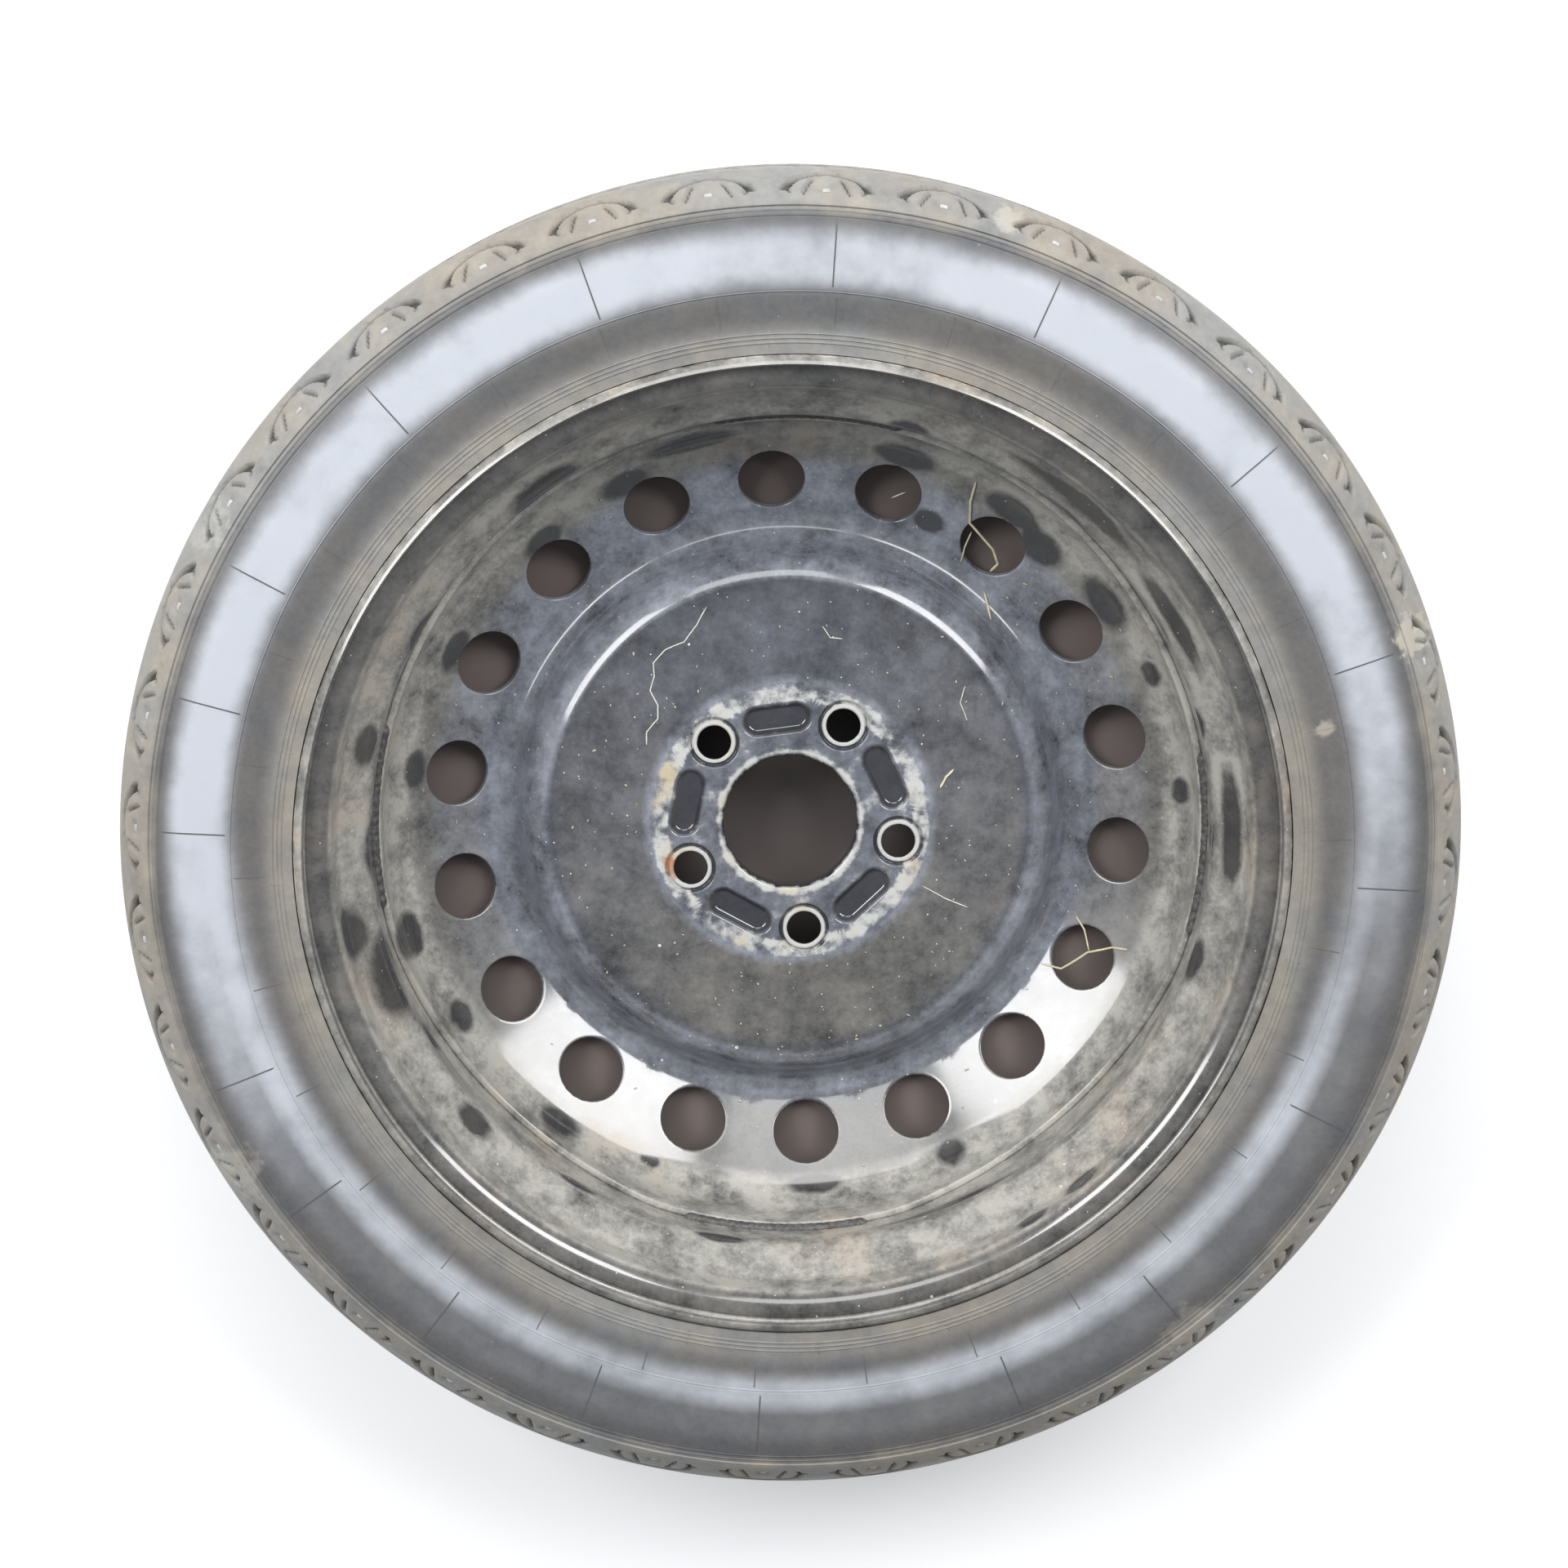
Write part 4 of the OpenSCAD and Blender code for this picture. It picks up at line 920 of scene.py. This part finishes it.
# %% Dusty black paint of disc and rim
def dusty_paint(name):
    """Gloss black under dust: colour and roughness both follow dust = film * (1 - wiped), with noise in each."""
    material, shader, start = finish(name, IOR=1.5, Coat_IOR=1.8, Coat_Roughness=0.10)
    mm, _ = place_in(start)
    broad, mid, small, fine = grain(mm, 60, 2), grain(mm, 16, 4), grain(mm, 5, 4, 0.65), grain(mm, 1.4, 3, 0.7)
    cloudy = mid * 0.45 + small * 0.35 + fine * 0.2
    wiped = (mark(start, "wiped") + (mid - 0.5) * 0.5 + (small - 0.5) * 0.35).rising(0.36, 0.62)
    film = (mark(start, "dust") * (1.0 + (cloudy - 0.5) * 5.0)).clipped() * (1.0 - wiped * 0.88)
    brown = (broad + (mid - 0.5) * 0.5).rising(0.50, 0.78)
    dust_colour = brown.blend((0.440, 0.425, 0.385), (0.450, 0.385, 0.320))
    # Painted reflection: the marked dust turns blue-grey and stands in for a mirrored bluish light.
    dust_colour = (mark(start, "painted_blue_reflection") * 0.85).blend(dust_colour, (0.440, 0.480, 0.580))
    colour = film.blend((0.014, 0.014, 0.017), dust_colour)
    flecks = specks(mm, 4.0, 0.45, 0.45).most(specks(mm, 13.0, 1.0, 0.35)) * mark(start, "flecks")
    colour = (flecks * 0.9).blend(colour, (0.75, 0.74, 0.69))
    # Wear and painted highlight: pale worn paint, and pale rings on rounded edges that stand in for highlights.
    wear_and_highlight = (mark(start, "wear_and_highlight") + (mid - 0.5) * 0.7 + (small - 0.5) * 1.1).rising(0.40, 0.72)
    wear_and_highlight_colour = (broad * 0.5 + mid * 0.7).rising(0.62, 0.80).blend((0.62, 0.62, 0.59), (0.58, 0.48, 0.30))
    colour = (wear_and_highlight * 0.8).blend(colour, wear_and_highlight_colour)
    rust = (mark(start, "rust") + (mid - 0.5) * 0.6 + (fine - 0.5) * 0.8).rising(0.45, 0.7)
    colour = (rust * 0.8).blend(colour, (0.42, 0.17, 0.06))
    rough = 0.16 + film * 0.55 + wear_and_highlight * 0.3 + flecks * 0.3
    bump = start.node("Bump", {}, {"Strength": 0.35, "Distance": 0.0002,
                                   "Height": fine * (film + wear_and_highlight + rust) + mid * 0.3})
    coat = (1.0 - film * 0.65 - wear_and_highlight * 0.5 - flecks * 0.5).clipped()
    connect(shader, Base_Color=colour, Roughness=rough.clipped(), Coat_Weight=coat, Normal=bump)
    return material


disc.data.materials.append(dusty_paint("dusty_black_disc"))
rim.data.materials.append(dusty_paint("dusty_black_rim"))

# %% [markdown]
# ## Rubber, dust and the small parts of the valve
# The tyre's sidewall is grey-black with a soft sheen. Brown dust clings to its shoulder and to the strip beside
# the rim, and a pale band of painted sheen lies between them. The small bars in the arches are paler than the
# rest. The valve's parts are plain rubber, brass, spring steel and plastic.

# %% Rubber of the tyre
RUBBER_PATCHES = [(70, 303, 22, 0.9), (76, 252, 9, 0.5), (18, 306, 16, 0.35), (140, 304, 40, 0.2),
                  (240, 305, 34, 0.25), (300, 308, 26, 0.2)]


def tyre_rubber(name):
    """Rubber whose dust depends on the radius: thick on the shoulder and beside the rim, thin on the band. A
    patch of more dust is (degrees clockwise, radius, size, strength)."""
    material, shader, start = finish(name, IOR=1.5)
    mm, radius = place_in(start)
    broad, mid, small, fine = grain(mm, 70, 2), grain(mm, 14, 4), grain(mm, 5, 4, 0.65), grain(mm, 1.5, 3, 0.7)
    edge = (mid - 0.5) * 6.0
    shoulder = (radius + edge).rising(292, 301)
    bead = (radius + edge).rising(250, 238)
    lower = (radius + edge).rising(264, 256)
    film = (0.12 + shoulder * 0.50 + bead * 0.31 + lower * 0.05) * (0.1 + mid * 1.0 + small * 0.8)
    film = film + (fine - 0.5) * 0.16
    for clockwise, r, size, strength in RUBBER_PATCHES:
        splash = near(mm, clockwise, r, size) * 0.9 + (mid - 0.5) * 0.7 + (small - 0.5) * 1.3
        film = film + splash.rising(0.45, 0.75) * strength
    film = film.clipped()
    brown = (broad * 0.6 + mid * 0.5).rising(0.42, 0.66)
    colour = film.blend((0.066, 0.068, 0.075), brown.blend((0.430, 0.425, 0.400), (0.440, 0.395, 0.325)))
    # Painted sheen: the marked band turns pale blue-grey and stands in for the lamps' sheen on the sidewall.
    painted_sheen = (mark(start, "painted_sheen") * (broad * 0.8 + mid * 0.8 + small * 0.4)).rising(0.0, 1.0)
    colour = (painted_sheen * 0.78).blend(colour, (0.60, 0.63, 0.69))
    colour = (specks(mm, 9.0, 0.5, 0.25) * 0.6).blend(colour, (0.45, 0.43, 0.38))
    # Painted shade: the tread's grooves and sipes are darkened by their depth.
    colour = (mark(start, "pressed").rising(0.15, 1.0) * 0.75).blend(colour, (0.03, 0.03, 0.03))
    bump = start.node("Bump", {}, {"Strength": 0.4, "Distance": 0.0003, "Height": fine * 0.6 + mid})
    connect(shader, Base_Color=colour, Roughness=(0.30 + film * 0.5 + (mid - 0.5) * 0.1).clipped(), Normal=bump)
    return material


rubber = tyre_rubber("dusty_rubber")
bar_rubber, shader, start = finish("pale_rubber_bar", Roughness=0.5)
patchy = grain(place_in(start)[0], 4).rising(0.3, 0.7)
connect(shader, Base_Color=patchy.blend((0.42, 0.42, 0.43), (0.60, 0.60, 0.60)))
rubber_pieces = [thing for thing in bpy.data.objects if thing.name.startswith(("tyre_", "tread_", "mould_"))]
for thing in rubber_pieces:
    thing.data.materials.append(bar_rubber if "bars" in thing.name else rubber)
print("rubber on", len(rubber_pieces), "pieces")


# %% Plain finishes of the small parts
def plain(name, colour, rough, metallic=0.0, wear=0.25):
    """One colour that noise makes a little paler and duller in places."""
    material, shader, start = finish(name, Metallic=metallic)
    patchy = grain(place_in(start)[0], 1.2, 3)
    pale = tuple(value + (0.2 - value) * wear for value in colour)
    connect(shader, Base_Color=patchy.rising(0.35, 0.75).blend(colour, pale),
            Roughness=(rough + (patchy - 0.5) * 0.2).clipped())
    return material


SMALL_PARTS = {
    "valve_body": ("valve_rubber", (0.030, 0.030, 0.032), 0.60, 0.0),
    "valve_cap": ("cap_plastic", (0.020, 0.020, 0.021), 0.45, 0.0),
    "valve_stem": ("brass_stem", (0.62, 0.46, 0.22), 0.32, 1.0),
    "valve_core": ("brass_core", (0.66, 0.50, 0.25), 0.28, 1.0),
    "valve_pin": ("brass_pin", (0.70, 0.55, 0.30), 0.25, 1.0),
    "core_spring": ("spring_steel", (0.55, 0.56, 0.58), 0.25, 1.0),
}
carried = {node: plain(*look) for node, look in SMALL_PARTS.items()}
beads_paint = plain("dusty_weld", (0.06, 0.055, 0.05), 0.5, wear=0.6)
bpy.data.objects["weld_ripples"].data.materials.append(beads_paint)
for name, colour in (("straw_bits", (0.72, 0.66, 0.46)), ("lint_threads", (0.72, 0.72, 0.66)),
                     ("grit", (0.50, 0.46, 0.36))):
    bpy.data.objects[name].data.materials.append(plain(name, colour, 0.7))
carried |= {"tyre": rubber, "weld_beads": beads_paint, "rim": rim.data.materials[0],
            "disc": disc.data.materials[0]}
for node, made in carried.items():
    for place in frame["nodes"][node].material_slots:
        place.material = made

# %% [markdown]
# ## Floor
# A pale sheet under the wheel. Inside the rim it is painted dark brown as painted shade, so that most vents and
# the bore show dark brown. It takes the wheel's shadow. Outside the wheel, rays from the camera and from
# mirror-like or clear surfaces see it a little brighter, so that it looks white without more light on the wheel.

# %% Floor and white surroundings
FLOOR_HALF = 4000.0
floor_points = np.array([[-1, -1, 0], [1, -1, 0], [1, 1, 0], [-1, 1, 0]]) * FLOOR_HALF
floor_points -= [0, 0, TYRE_HALF_W + 0.2]
floor_mesh = bpy.data.meshes.new("floor")
floor_mesh.from_pydata((floor_points * MM).tolist(), [], [[0, 1, 2, 3]])
floor = bpy.data.objects.new("floor", floor_mesh)
bpy.context.scene.collection.objects.link(floor)
floor_paint, floor_shader, start = finish("pale_floor", Roughness=0.9)
rays = start.node("LightPath", output="Is Camera Ray")
for ray in ("Is Glossy Ray", "Is Transmission Ray"):
    rays = rays.most(start.node("LightPath", output=ray))
_, floor_radius = place_in(start)
glow = start.node("Emission", {}, {"Color": (1.0, 1.0, 1.0), "Strength": floor_radius.rising(300, 345) * 0.30})
# Painted shade: inside the rim the floor is painted dark brown, darkest under the hub.
painted_shade_under_wheel = floor_radius.rising(50, 120).blend((0.10, 0.085, 0.08), (0.16, 0.13, 0.12))
connect(floor_shader, Base_Color=floor_radius.rising(205, 235).blend(painted_shade_under_wheel, (0.84, 0.84, 0.85)))
lit = Signal(start.tree, floor_shader.outputs[0])
both = start.node("AddShader", {}, {0: lit, 1: glow})
chosen = start.node("MixShader", {}, {0: rays, 1: lit, 2: both})
start.tree.links.new(chosen.socket, floor_paint.node_tree.nodes["Material Output"].inputs["Surface"])
floor_mesh.materials.append(floor_paint)
